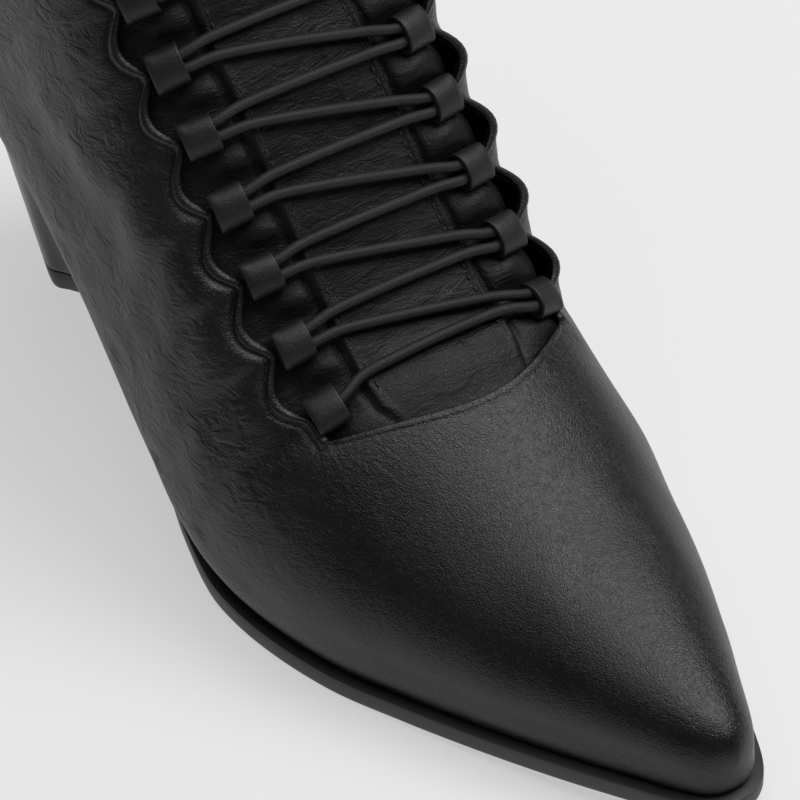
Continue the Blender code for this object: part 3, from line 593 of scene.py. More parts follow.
class Sketch:
    """A material's or a group's nodes, added and joined in few words."""

    def __init__(self, tree: bpy.types.NodeTree) -> None:
        """Keep the tree that the nodes go into."""
        self.tree = tree

    @staticmethod
    def begin(name: str) -> tuple[bpy.types.Material, Sketch, bpy.types.Node]:
        """A new material, its sketch and its Principled shader."""
        material = bpy.data.materials.new(name)
        material.use_nodes = True
        tree = material.node_tree
        return material, Sketch(tree), tree.nodes["Principled BSDF"]

    def feed(self, node: bpy.types.Node, inputs: dict[str | int, object]) -> None:
        """Link a node's inputs to sockets or set them to plain values."""
        for name, value in inputs.items():
            if isinstance(value, bpy.types.NodeSocket):
                self.tree.links.new(value, node.inputs[name])
            else:
                node.inputs[name].default_value = value

    def node(self, kind: str, inputs: dict[str | int, object] | None = None, **settings: object) -> bpy.types.Node:
        """Add a node with its settings and its inputs."""
        made = self.tree.nodes.new(kind)
        for name, value in settings.items():
            setattr(made, name, value)
        self.feed(made, inputs or {})
        return made

    def maths(self, operation: str, first: object, second: object = 0.0) -> object:
        """A Math node's value."""
        return self.node("ShaderNodeMath", {0: first, 1: second}, operation=operation).outputs[0]

    def times(self, first: object, second: object) -> object:
        """A product."""
        return self.maths("MULTIPLY", first, second)

    def vectors(self, operation: str, first: object, second: dict[str | int, object]) -> object:
        """A Vector Math node's vector."""
        return self.node("ShaderNodeVectorMath", {0: first, **second}, operation=operation).outputs[0]

    def stretch(self, vector: object, scale: Triple, turn: Triple) -> object:
        """Coordinates turned and then scaled."""
        turned = self.node("ShaderNodeMapping", {"Vector": vector, "Rotation": turn}).outputs[0]
        return self.vectors("MULTIPLY", turned, {1: scale})

    def noise(
        self, vector: object, scale: object, detail: float, rough: float = 0.5, warp: float = 0.0, output: str = "Fac"
    ) -> object:
        """A Noise Texture's value or colour."""
        inputs = {"Vector": vector, "Scale": scale, "Detail": detail, "Roughness": rough, "Distortion": warp}
        return self.node("ShaderNodeTexNoise", inputs).outputs[output]

    def cells(self, vector: object, scale: object) -> object:
        """Distance from the edges between a Voronoi Texture's cells."""
        inputs = {"Vector": vector, "Scale": scale}
        return self.node("ShaderNodeTexVoronoi", inputs, feature="DISTANCE_TO_EDGE").outputs["Distance"]

    def spread(self, value: object, low: float, high: float, new_low: float, new_high: float) -> object:
        """A value mapped from one range to another."""
        ends = {"From Min": low, "From Max": high, "To Min": new_low, "To Max": new_high}
        return self.node("ShaderNodeMapRange", {"Value": value, **ends}).outputs["Result"]

    def blend(self, share: object, first: Triple, second: Triple) -> object:
        """A colour mixed from two."""
        inputs = {0: share, 6: (*first, 1.0), 7: (*second, 1.0)}
        return self.node("ShaderNodeMix", inputs, data_type="RGBA").outputs[2]

    def relief(self, height: object) -> object:
        """The bump that heights in metres make."""
        return self.node("ShaderNodeBump", {"Strength": 1.0, "Distance": 1.0, "Height": height}).outputs["Normal"]


class Effects:
    """Node groups that more than one material uses."""

    @staticmethod
    def group(name: str, inputs: tuple[tuple[str, str, object], ...], outputs: tuple[str, ...]) -> tuple:
        """A new group with its sockets.

        Args:
            name: the group's name.
            inputs: name, socket type and value of each input.
            outputs: names of the outputs, each a number.

        Returns:
            The group, its sketch, its input node and its output node.
        """
        tree = bpy.data.node_groups.new(name, "ShaderNodeTree")
        for label, kind, value in inputs:
            socket = tree.interface.new_socket(label, in_out="INPUT", socket_type=kind)
            if value is not None:
                socket.default_value = value
        for label in outputs:
            tree.interface.new_socket(label, in_out="OUTPUT", socket_type="NodeSocketFloat")
        sketch = Sketch(tree)
        return tree, sketch, sketch.node("NodeGroupInput"), sketch.node("NodeGroupOutput")

    @staticmethod
    @lru_cache(maxsize=None)
    def grain() -> bpy.types.NodeTree:
        """Pebbled leather: small flat cells with fine creases between them."""
        inputs = (
            ("Vector", "NodeSocketVector", None),
            ("Cell Scale", "NodeSocketFloat", 1100.0),
            ("Crease Share", "NodeSocketFloat", 0.5),
        )
        tree, sketch, given, made = Effects.group("leather_grain", inputs, ("Height", "Pore"))
        vector, scale, share = (given.outputs[name] for name, _, _ in inputs)
        wander = sketch.noise(vector, 420.0, 1.0, output="Color")
        bent = sketch.vectors("ADD", vector, {1: sketch.vectors("SCALE", wander, {"Scale": 0.0009})})
        pebble = sketch.spread(sketch.cells(bent, scale), 0.0, 0.35, 0.0, 1.0)
        crease = sketch.spread(sketch.cells(bent, sketch.times(scale, 0.31)), 0.0, 0.16, 0.0, 1.0)
        rest = sketch.maths("SUBTRACT", 1.0, share)
        total = sketch.maths("ADD", sketch.times(pebble, rest), sketch.times(crease, share))
        sketch.feed(made, {"Height": total, "Pore": pebble})
        return tree

    @staticmethod
    @lru_cache(maxsize=None)
    def wrinkles() -> bpy.types.NodeTree:
        """Long shallow creases of soft leather, drawn out along one direction."""
        inputs = (("Vector", "NodeSocketVector", None), ("Scale", "NodeSocketFloat", 330.0))
        tree, sketch, given, made = Effects.group("long_wrinkles", inputs, ("Height",))
        vector, scale = (given.outputs[name] for name, _, _ in inputs)
        first = sketch.noise(vector, scale, 3.0, 0.55, 0.6)
        sharp = sketch.maths("ABSOLUTE", sketch.maths("SUBTRACT", first, 0.5))
        lines = sketch.spread(sharp, 0.0, 0.17, 0.0, 1.0)
        second = sketch.noise(vector, sketch.times(scale, 2.3), 2.0, 0.5, 0.3)
        total = sketch.maths("ADD", sketch.times(lines, 0.75), sketch.times(second, 0.28))
        sketch.feed(made, {"Height": total})
        return tree

    @staticmethod
    def place(sketch: Sketch, tree: bpy.types.NodeTree, **values: object) -> bpy.types.Node:
        """Put a group into a material and set or link its inputs."""
        inputs = {name.replace("_", " ").title(): value for name, value in values.items()}
        return sketch.node("ShaderNodeGroup", inputs, node_tree=tree)


@dataclass(frozen=True)
class LeatherFinish:
    """Black leather with a grain, long wrinkles and a soft gloss."""

    name: str
    colour: Triple = (0.0040, 0.0040, 0.0042)
    worn: Triple = (0.0085, 0.0082, 0.0078)
    roughness: float = 0.31
    cell_scale: float = 1950.0
    crease_share: float = 0.34
    grain_depth: float = 0.00006
    wrinkle_scale: float = 290.0
    wrinkle_depth: float = 0.00030
    wrinkle_turn: Triple = (-0.20, 0.0, 0.0)
    wrinkle_stretch: Triple = (1.0, 0.52, 1.0)
    specular: float = 0.47
    masked: bool = True

    def make(self) -> bpy.types.Material:
        """Build the material."""
        material, sketch, shader = Sketch.begin(self.name)
        vector = sketch.node("ShaderNodeTexCoord").outputs["Object"]
        grain = Effects.place(
            sketch, Effects.grain(), vector=vector, cell_scale=self.cell_scale, crease_share=self.crease_share
        )
        drawn = sketch.stretch(vector, self.wrinkle_stretch, self.wrinkle_turn)
        long = Effects.place(sketch, Effects.wrinkles(), vector=drawn, scale=self.wrinkle_scale)
        mask: object = 1.0
        if self.masked:
            mask = sketch.node("ShaderNodeAttribute", attribute_name="wrinkled").outputs["Fac"]
        folds = sketch.times(sketch.times(long.outputs["Height"], mask), self.wrinkle_depth)
        pebbles = sketch.times(grain.outputs["Height"], self.grain_depth)
        patches = sketch.noise(vector, 38.0, 3.0, 0.6)
        tone = sketch.blend(sketch.spread(patches, 0.35, 0.7, 0.0, 1.0), self.colour, self.worn)
        gloss = sketch.spread(grain.outputs["Pore"], 0.0, 1.0, self.roughness + 0.10, self.roughness - 0.03)
        drift = sketch.times(sketch.maths("SUBTRACT", patches, 0.5), 0.12)
        uneven = sketch.maths("ADD", sketch.maths("ADD", gloss, drift), sketch.times(mask, 0.08))
        bump = sketch.relief(sketch.maths("ADD", pebbles, folds))
        sketch.feed(shader, {"Base Color": tone, "Roughness": uneven, "Normal": bump})
        sketch.feed(shader, {"Specular IOR Level": self.specular})
        return material


@dataclass(frozen=True)
class PlainFinish:
    """A smooth finish with a faint mottle and a fine bump, for rubber, lacquer, thread and lining."""

    name: str
    colour: Triple = (0.02, 0.02, 0.02)
    second: Triple = (0.03, 0.03, 0.03)
    roughness: float = 0.5
    mottle_scale: float = 60.0
    bump_scale: float = 2500.0
    bump_depth: float = 0.00002
    coat: float = 0.0

    def make(self) -> bpy.types.Material:
        """Build the material."""
        material, sketch, shader = Sketch.begin(self.name)
        vector = sketch.node("ShaderNodeTexCoord").outputs["Object"]
        patches = sketch.noise(vector, self.mottle_scale, 4.0, 0.6)
        tone = sketch.blend(sketch.spread(patches, 0.3, 0.7, 0.0, 1.0), self.colour, self.second)
        gloss = sketch.spread(patches, 0.3, 0.7, self.roughness - 0.05, self.roughness + 0.06)
        bump = sketch.relief(sketch.times(sketch.noise(vector, self.bump_scale, 2.0), self.bump_depth))
        sketch.feed(shader, {"Base Color": tone, "Roughness": gloss, "Normal": bump})
        sketch.feed(shader, {"Coat Weight": self.coat, "Coat Roughness": 0.2})
        return material


@dataclass(frozen=True)
class BraidFinish:
    """Round elastic braid: fine slanted ribs that cross, on the cord's own map."""

    name: str
    # The braid's colour follows its relief: the first colour is painted shade in the grooves, the second a painted
    # highlight on the raised ribs.
    colour: Triple = (0.005, 0.005, 0.005)
    rib_highlight_colour: Triple = (0.016, 0.016, 0.016)
    ribs_round: float = 10.0
    ribs_per_metre: float = 1500.0
    depth: float = 0.00006

    def make(self) -> bpy.types.Material:
        """Build the material."""
        material, sketch, shader = Sketch.begin(self.name)
        chart = sketch.node("ShaderNodeUVMap", uv_map="UVMap").outputs[0]
        parts = sketch.node("ShaderNodeSeparateXYZ", {0: chart})
        around = sketch.times(parts.outputs[0], self.ribs_round * 2 * math.pi)
        along = sketch.times(parts.outputs[1], self.ribs_per_metre * 2 * math.pi)
        one, two = (sketch.maths("SINE", sketch.maths(way, around, along)) for way in ("ADD", "SUBTRACT"))
        weave = sketch.spread(sketch.maths("MAXIMUM", one, two), -0.3, 1.0, 0.0, 1.0)
        # Painted light: the weave darkens the grooves as painted shade and lightens the ribs as a painted highlight.
        tone = sketch.blend(weave, self.colour, self.rib_highlight_colour)
        gloss = sketch.spread(weave, 0.0, 1.0, 0.62, 0.46)
        bump = sketch.relief(sketch.times(weave, self.depth))
        sketch.feed(shader, {"Base Color": tone, "Roughness": gloss, "Normal": bump})
        return material


# The outer quarter's soft fold: how far its crest lies from the throat's edge at each place.
FOLD_PLACES = (8.8, 9.9, 10.7, 11.3, 11.9, 12.6, 13.5, 14.3, 16.0)
FOLD_REACH = (0.002, 0.0035, 0.006, 0.007, 0.0075, 0.012, 0.019, 0.028, 0.036)
FOLD_FROM, FOLD_TO = (8.6, 9.8), (14.0, 16.5)  # places between which it rises and dies out
FOLD_APART = 0.0145  # metres from its crest to its trough
# Creases: place on the ridge, its drift down the side, from and to how far round, depth, width.
CREASES = {
    Side.OUTER: (
        (9.3, 1.2, 0.30, 0.62, 0.00045, 0.16),
        (10.4, 1.6, 0.34, 0.70, 0.00050, 0.18),
        (11.7, 1.8, 0.30, 0.66, 0.00040, 0.20),
        (13.0, 2.2, 0.36, 0.74, 0.00055, 0.22),
        (14.6, 2.4, 0.30, 0.60, 0.00045, 0.22),
        (16.4, 1.6, 0.40, 0.85, 0.00050, 0.26),
        (18.9, 0.8, 0.35, 0.80, 0.00050, 0.28),
    ),
    Side.INNER: (
        (9.6, 1.0, 0.30, 0.66, 0.00045, 0.17),
        (11.2, 1.6, 0.34, 0.72, 0.00045, 0.20),
        (13.4, 2.0, 0.32, 0.70, 0.00050, 0.22),
        (15.6, 1.8, 0.36, 0.80, 0.00050, 0.26),
        (18.4, 0.8, 0.35, 0.80, 0.00050, 0.28),
    ),
}
# Beside each loop the leather dips: height, how far from the edge, width.
PRESS = (-0.00022, 0.0055, 0.0035)
# Each loop pulls a ridge and a trough: height, middle and width in loops, how far from the edge, width.
PULLS = ((0.00028, 0.12, 0.10, 0.010, 0.0075), (-0.00024, -0.14, 0.10, 0.012, 0.0080))
PULL_LEANS = (0.8, 0.5)  # how far even and odd pulls lean up the boot
# Unevenness: height, size across and along, where its pattern starts, its seed.
SOFT_LUMPS = ((0.00017, 0.0060, 0.0150, 9, 3, 4), (0.00008, 0.0030, 0.0080, 5, 1, 11))
# The same on the vamp, and the place where it starts.
VAMP_LUMPS = ((0.00032, 0.0170, 0.0260, 2.3, 0.4, 5, 0.5), (0.00012, 0.0075, 0.0110, 7.1, 2.2, 8, 0.8))


@dataclass
class Upper:
    """The leather upper: vamp, quarters and shaft in one wall, with its rolled throat edge."""

    last: Last
    roll_width: float = 0.0024
    roll_height: float = 0.00100
    middle_columns: int = 22
    flank_columns: int = 62
    near_edge: tuple[float, ...] = (0.0, 0.15, 0.4, 0.8, 1.25, 1.7, 2.05, 2.3, 2.45, 2.7, 3.1, 3.8, 4.8)
    standing_inner: float = 0.0030
    standing_outer: float = 0.0004
    standing_width: float = 0.0060
    fold_height: float = 0.0014
    fold_depth: float = 0.0009

    def rows(self) -> tuple[Array, int]:
        """Places of the rows and the number of the row at the foot of the throat."""
        last = self.last
        toe = [0, 0.12, 0.25, 0.4, 0.6, 0.8, 1.0, 1.17, 1.34, 1.5, 1.67, 1.84]
        vamp = list(np.arange(2.0, 7.9, 0.097))
        before = np.array([4.4, 3.5, 2.8, 2.3, 2.0, 1.7, 1.3, 0.9, 0.5, 0.2]) / 1000
        near = list(last.throat_foot - before / VAMP_PITCH)
        at_corner = float(np.interp(last.corner, *last.throat()))
        low = np.linspace(0, at_corner, 93)
        high = np.linspace(at_corner, last.throat()[1][-1] - 0.0011, 62)[1:]
        shaft = [place for place in last.place_up(np.concatenate([low, high])) if place < last.collar - 0.14]
        shaft[0] = last.throat_foot
        top = [last.collar - share for share in (0.13, 0.105, 0.085, 0.07, 0.05, 0.03, 0.015, 0.005, 0.0)]
        ahead = toe + vamp + near
        return np.array(ahead + shaft + top), len(ahead)

    def net(self) -> tuple[dict[Side, Array], dict[Side, Array], Array, int]:
        """Points and shares round for both halves, the rows' places and the foot's row."""
        last = self.last
        places, foot = self.rows()
        steps = np.linspace(0, 1, 241)
        near = np.array(self.near_edge) / 1000
        to_foot = (np.arange(len(places)) <= foot)[:, None]
        points, rounds = {}, {}
        for side in SIDES:
            runs = run_along(last.form(places[:, None], steps, side), 1)
            at = np.maximum(places, last.throat_foot)
            cusp = last.round_at(at, last.throat_reach(at, side), side)
            swing = last.scallop_depth * last.scallop(at)
            shares = np.empty((len(places), self.middle_columns + len(near) + self.flank_columns))
            for row, place in enumerate(places):
                full = runs[row][-1]
                from_toe = min(place / 3, 1.0)
                edge = np.interp(cusp[row], steps, runs[row]) + swing[row]
                edge = edge * from_toe + 0.3 * full * (1 - from_toe)
                inside = np.linspace(0, edge, self.middle_columns + 1)[:-1]
                close = near * min(1.0, (full - edge) / 0.06)
                outside = np.linspace(edge + close[-1], full, self.flank_columns + 1)[1:]
                shares[row] = np.interp(np.concatenate([inside, edge + close, outside]), runs[row], steps)
            part = np.minimum(np.arange(shares.shape[1]) / self.middle_columns, 1.0)
            along = np.where(to_foot, last.dip(places[:, None], part), places[:, None])
            points[side] = last.form(along, shares, side)
            rounds[side] = shares
        return points, rounds, places, foot

    def roll(self, distance: Array, height: float) -> Array:
        """Height of a folded edge: a round roll, a narrow groove and then the flat leather."""
        share = np.clip(distance / self.roll_width, 0, 1)
        bead = np.clip(1 - (2 * share - 1) ** 2, 0, 1) ** 0.6 * height
        groove = -0.32 * height * swell(distance, self.roll_width + 0.0003, 0.00045)
        return bead + groove

    def build(self) -> Thing:
        """Make the shell, with its relief and its wall."""
        points, rounds, places, foot = self.net()
        mid = self.middle_columns
        row = np.arange(len(places))[:, None]
        halves, masks, charts = {}, {}, {}
        for side in SIDES:
            net = points[side]
            girth, length = run_along(net, 1), run_along(net, 0)
            from_edge = girth - girth[:, mid : mid + 1]
            lift = np.where((row >= foot) & (from_edge >= -1e-9), self.roll(from_edge, self.roll_height), 0.0)
            to_foot = np.maximum(length[foot] - length, 0)
            in_foot = (np.arange(net.shape[1]) <= mid) & (row <= foot)
            lift = np.where(in_foot, self.roll(to_foot * FOOT_NARROWER, FOOT_ROLL * self.roll_height), lift)
            to_top = length[-1] - length
            rolled = np.maximum(lift, self.roll(to_top, TOP_ROLL * self.roll_height))
            lift = np.where(to_top < EDGE_BAND, rolled, lift)
            lift = lift + self.creases(places, rounds[side], girth, length, from_edge, side)
            lift = lift * ramp(girth[:, -1:] - girth, 0.0, EDGE_BAND) * ramp(length, 0.0, EDGE_BAND)
            halves[side] = net + self.normals(net, side) * lift[..., None]
            calm = np.where(row >= foot, ramp(from_edge, CALM_FROM, CALM_TO), 1.0)
            masks[side] = self.wrinkled(places, rounds[side]) * (0.25 + 0.75 * calm)
            charts[side] = np.stack([girth * side.value, length], axis=-1)
        net = both(halves)
        half = net.shape[1] // 2
        hole = np.zeros((len(places) - 1, 2 * half), bool)
        hole[foot:, half - mid : half + mid] = True
        shell = Modeller.sheet("upper_shell", net, both(charts) * 4, hole)
        self.add_mask(shell, net, both(masks))
        Modeller.close(shell)
        Modeller.face_away(shell, np.array([0.0, 0.04, 0.05]))
        Modeller.smooth_off(shell)
        Modeller.wall(shell, self.last.wall, inner_slot=1)
        return shell

    @staticmethod
    def add_mask(shell: Thing, net: Array, mask: Array) -> None:
        """Keep on each point how wrinkled the leather is there."""
        flat, values = net.reshape(-1, 3), mask.ravel()
        tree = KDTree(len(flat))
        for index, spot in enumerate(flat):
            tree.insert(spot, index)
        tree.balance()
        layer = shell.data.attributes.new("wrinkled", "FLOAT", "POINT")
        found = [values[tree.find(vertex.co)[1]] for vertex in shell.data.vertices]
        layer.data.foreach_set("value", np.array(found, np.float32))

    @staticmethod
    def normals(net: Array, side: Side) -> Array:
        """Directions out of a half's net."""
        along = np.gradient(net, axis=0)
        around = np.gradient(net, axis=1)
        around[:, 0] = ACROSS * side.value * np.linalg.norm(around[:, :1], axis=-1)
        return unit(np.cross(along, around) * side.value)

    def wrinkled(self, places: Array, rounds: Array) -> Array:
        """How wrinkled the leather is: smooth on the toe, soft and creased on the quarters."""
        up = ramp(places, 6.5, 10.5)[:, None]
        side = 0.35 + 0.65 * ramp(rounds, 0.12, 0.34)
        return 0.10 + 0.90 * up * side

    def creases(self, places: Array, rounds: Array, girth: Array, length: Array, gap: Array, side: Side) -> Array:
        """Soft troughs and ridges, given one by one, and the pull of each loop on the leather.

        Args:
            places: where each row lies, counted in sections.
            rounds: how far round each point lies.
            girth: distance of each point from the ridge.
            length: distance of each point from the toe.
            gap: distance of each point from the throat's edge.
            side: which half.

        Returns:
            The height to add at each point.
        """
        last = self.last
        place = places[:, None]
        turns = last.turns(places)[:, None]
        reach = np.clip(gap, 0, None)
        near_loop = np.cos(2 * np.pi * turns) * ((turns > -0.4) & (turns < last.loop_count - 0.6))
        lift = PRESS[0] * near_loop * swell(reach, *PRESS[1:]) * (place > last.throat_foot - 0.3)
        for number in range(last.loop_count):
            lean = turns - number - (reach - 0.004) / 0.035 * PULL_LEANS[number % 2]
            for height, middle, width, far, spread in PULLS:
                lift += height * swell(lean, middle, width) * swell(reach, far, spread)
        for at, tilt, low, high, depth, width in CREASES[side]:
            line = place - at - tilt * (rounds - (low + high) / 2)
            span = ramp(rounds, low, low + 0.06) * (1 - ramp(rounds, high - 0.06, high))
            lift += depth * span * (0.6 * swell(line, width * 1.7, width * 0.9) - swell(line, 0.0, width))
        standing = self.standing_inner if side is Side.INNER else self.standing_outer
        on_throat = place >= last.throat_foot
        lift += standing * last.scallop(places)[:, None] * swell(reach, 0.0, self.standing_width) * on_throat
        if side is Side.OUTER:
            crest = np.interp(place, FOLD_PLACES, FOLD_REACH)
            span = ramp(place, *FOLD_FROM) * (1 - ramp(place, *FOLD_TO)) * ramp(reach, 0.0, 0.005)
            rise, fall = swell(reach, crest, 0.0075), swell(reach, crest + FOLD_APART, 0.0085)
            lift += span * (self.fold_height * rise - self.fold_depth * fall)
        soft = self.wrinkled(places, rounds) * ramp(reach, 0.003, 0.012)
        for height, wide, long, over, ahead, seed in SOFT_LUMPS:
            lift += height * mottle(girth / wide + over, length / long + ahead, seed + side.value) * soft
        vamp = 1 - ramp(place, 6.6, 8.6)
        for height, wide, long, over, ahead, seed, start in VAMP_LUMPS:
            lumps = mottle(girth * side.value / wide + over, length / long + ahead, seed)
            lift += height * lumps * vamp * ramp(place, start, 2.5)
        return lift

    def dress(self) -> None:
        """Build the shell and give it leather outside and lining inside."""
        shell = self.build()
        leather = LeatherFinish("upper_leather").make()
        lining = PlainFinish(
            "lining", (0.030, 0.028, 0.026), (0.045, 0.042, 0.039), 0.7, 90.0, 1400.0, 0.00006
        ).make()
        Modeller.finish(shell, "smooth_leather", ("upper",), leather, lining)


# The tongue's seam: height of its bead and of its groove, how far in each lies, its width.
SEAM_BEAD = (0.00055, 0.0009, 0.0009)
SEAM_GROOVE = (-0.0009, -0.0008, 0.0006)
GUSSET_LOW = 0.0010  # the gusset lies this much under the form at the seam
UNDER_VAMP = -0.0032  # height of the tongue where it runs under the vamp


@dataclass
class Tongue:
    """The tongue: a centre panel with a gusset on each side and a stitched seam between them."""

    last: Last
    wall: float = 0.0022
    rise: float = 0.0060
    seam_inset: float = 0.0115
    step: float = 0.00095
    puff_inner: tuple[float, float] = (0.0036, 0.0070)
    puff_outer: tuple[float, float] = (0.0013, 0.0)
    tucked: float = 0.085

    def rows(self) -> Array:
        """Places of the rows, from under the vamp to the collar."""
        last = self.last
        under = np.linspace(last.throat_foot - 1.2, last.throat_foot - 0.04, 16)
        runs = np.arange(0.0, last.throat()[1][-1] - 0.0008, self.step)
        return np.concatenate([under, last.place_up(runs), [last.collar - 0.05]])

    def height(self, inward: Array, turns: Array, place: Array, share: Array, side: Side) -> Array:
        """Height of the tongue over the form.

        Args:
            inward: distance in from the line of the loops, in metres.
            turns: place up the throat, counted in loops.
            place: place along the boot, counted in sections.
            share: 0 on the ridge to 1 at the line of the loops.
            side: which half.

        Returns:
            The height, in metres.
        """
        last = self.last
        under = last.wall + last.gap + 0.0002
        seam = inward - self.seam_inset
        panel = 1 - ramp(-seam, -0.0004, 0.0006)
        bead, groove = (height * swell(seam, *rest) for height, *rest in (SEAM_BEAD, SEAM_GROOVE))
        phase = np.mod(turns, 1.0)
        inside = (turns > -0.5) & (turns < last.loop_count - 0.5)
        between = np.where(inside, np.sin(np.pi * phase) ** 1.4, 0.0)
        slope = np.clip(inward / self.seam_inset, 0, 1)
        gusset = -under + (under - GUSSET_LOW) * ramp(slope, 0.1, 1.0)
        full, lead = self.puff_inner if side is Side.INNER else self.puff_outer
        across = np.clip((inward + lead) / (self.seam_inset + lead), 0, 1)
        puff = full * between * np.clip(np.sin(np.pi * across), 0, 1)
        fold = 0.00035 * np.sin(2 * np.pi * (turns * 2.0 + inward / 0.021)) * ramp(slope, 0.05, 0.4)
        low = gusset + puff + fold * (1 - ramp(slope, 0.8, 1.0))
        flat = 0.00022 * mottle(inward / 0.010, turns * 2.2 + side.value, 7)
        flat = flat + 0.00012 * mottle(inward / 0.004, turns * 6.0, 3)
        shape = low * (1 - panel) + (flat - 0.0001) * panel + bead + groove
        shape = np.where(inward < 0, -under + puff, shape)
        foot = ramp(place, last.throat_foot - 0.75, last.throat_foot + 0.25 + 0.35 * share)
        return UNDER_VAMP * (1 - foot) + shape * foot

    def build(self) -> Thing:
        """Make the sheet with its relief and its wall."""
        last = self.last
        places = self.rows()
        at = np.clip(places, last.throat_foot, last.collar - 0.05)
        turns = last.turns(at)[:, None]
        steps = np.linspace(0, 1, 46)
        along = np.minimum(places, last.collar - 0.05)[:, None]
        halves, charts = {}, {}
        for side in SIDES:
            edge = last.throat_reach(at, side)
            ridge = last.ridge(at)[:, 0] * side.value
            reach = ridge[:, None] + (edge - ridge)[:, None] * steps
            rounds = last.round_at(np.broadcast_to(at[:, None], reach.shape), reach, side)
            beyond = rounds[:, -1:] + np.linspace(0, self.tucked, 8)[1:]
            inward = np.concatenate([edge[:, None] - reach, (rounds[:, -1:] - beyond) * 0.11], axis=1)
            rounds = np.concatenate([rounds, beyond], axis=1)
            share = np.concatenate([np.broadcast_to(steps, reach.shape), np.ones(beyond.shape)], axis=1)
            height = self.height(inward, turns, places[:, None], share, side)
            net = last.form(along, rounds, side)
            net = net + last.normal(along, rounds, side) * height[..., None]
            rim = np.stack([net[-1] + UP * self.rise * part for part in (0.25, 0.5, 0.75, 0.93, 1.0)])
            halves[side] = np.concatenate([net, rim])
            row, column = np.indices(halves[side].shape[:2])
            charts[side] = np.stack([column * 0.0006 * side.value, row * self.step], axis=-1)
        sheet = Modeller.sheet("tongue_sheet", both(halves), both(charts) * 4)
        Modeller.face_away(sheet, np.array([0.0, 0.02, 0.06]))
        Modeller.smooth_off(sheet)
        Modeller.wall(sheet, self.wall)
        return sheet

    def stitches(self) -> Thing:
        """The thread that shows along both seams, one short stitch after another."""
        last = self.last
        half_length, half_width, half_height, lift = 0.00085, 0.00030, 0.00024, 0.00012
        Modeller.clear()
        bpy.ops.mesh.primitive_uv_sphere_add(segments=8, ring_count=6, radius=1.0)
        pattern = bpy.context.object
        shape = np.array([vertex.co[:] for vertex in pattern.data.vertices])
        faces = [tuple(face.vertices) for face in pattern.data.polygons]
        vertices, polygons = [], []
        for side in SIDES:
            for run in np.arange(0.004, last.throat()[1][-1] - 0.006, 0.0027):
                ends, outs = [], []
                for shift in (-half_length, half_length):
                    place = float(last.place_up(run + shift))
                    reach = float(last.throat_reach(place, side)) - self.seam_inset - 0.0021
                    here = float(last.round_at(place, reach, side))
                    outs.append(last.normal(place, here, side))
                    ends.append(last.form(place, here, side) + outs[-1] * lift)
                along = unit(ends[1] - ends[0])
                sideways = unit(np.cross(along, outs[0]))
                long = np.linalg.norm(ends[1] - ends[0]) / 2
                base = len(vertices)
                spread = np.array([along * long, sideways * half_width, outs[0] * half_height])
                vertices += ((ends[0] + ends[1]) / 2 + shape @ spread).tolist()
                polygons += [[index + base for index in face] for face in faces]
        mesh = bpy.data.meshes.new("tongue_stitches")
        mesh.from_pydata(vertices, [], polygons)
        thread = bpy.data.objects.new("tongue_stitches", mesh)
        bpy.context.scene.collection.objects.link(thread)
        bpy.data.objects.remove(pattern)
        Modeller.smooth_off(thread)
        return thread

    def dress(self) -> None:
        """Build the tongue and its stitches and give them their finishes."""
        soft = LeatherFinish(
            "tongue_leather",
            colour=(0.0028, 0.0028, 0.0029),
            worn=(0.0052, 0.0051, 0.0050),
            roughness=0.40,
            cell_scale=1500.0,
            grain_depth=0.00005,
            wrinkle_scale=420.0,
            wrinkle_depth=0.00010,
            specular=0.33,
            wrinkle_turn=(0.0, 0.0, 0.12),
            wrinkle_stretch=(0.33, 1.0, 1.0),
            masked=False,
        )
        Modeller.finish(self.build(), "soft_leather", ("tongue",), soft.make())
        thread = PlainFinish("black_thread", (0.012, 0.012, 0.012), (0.02, 0.02, 0.02), 0.6, 400.0, 6000.0, 0.00003)
        Modeller.finish(self.stitches(), "soft_leather", (), thread.make())


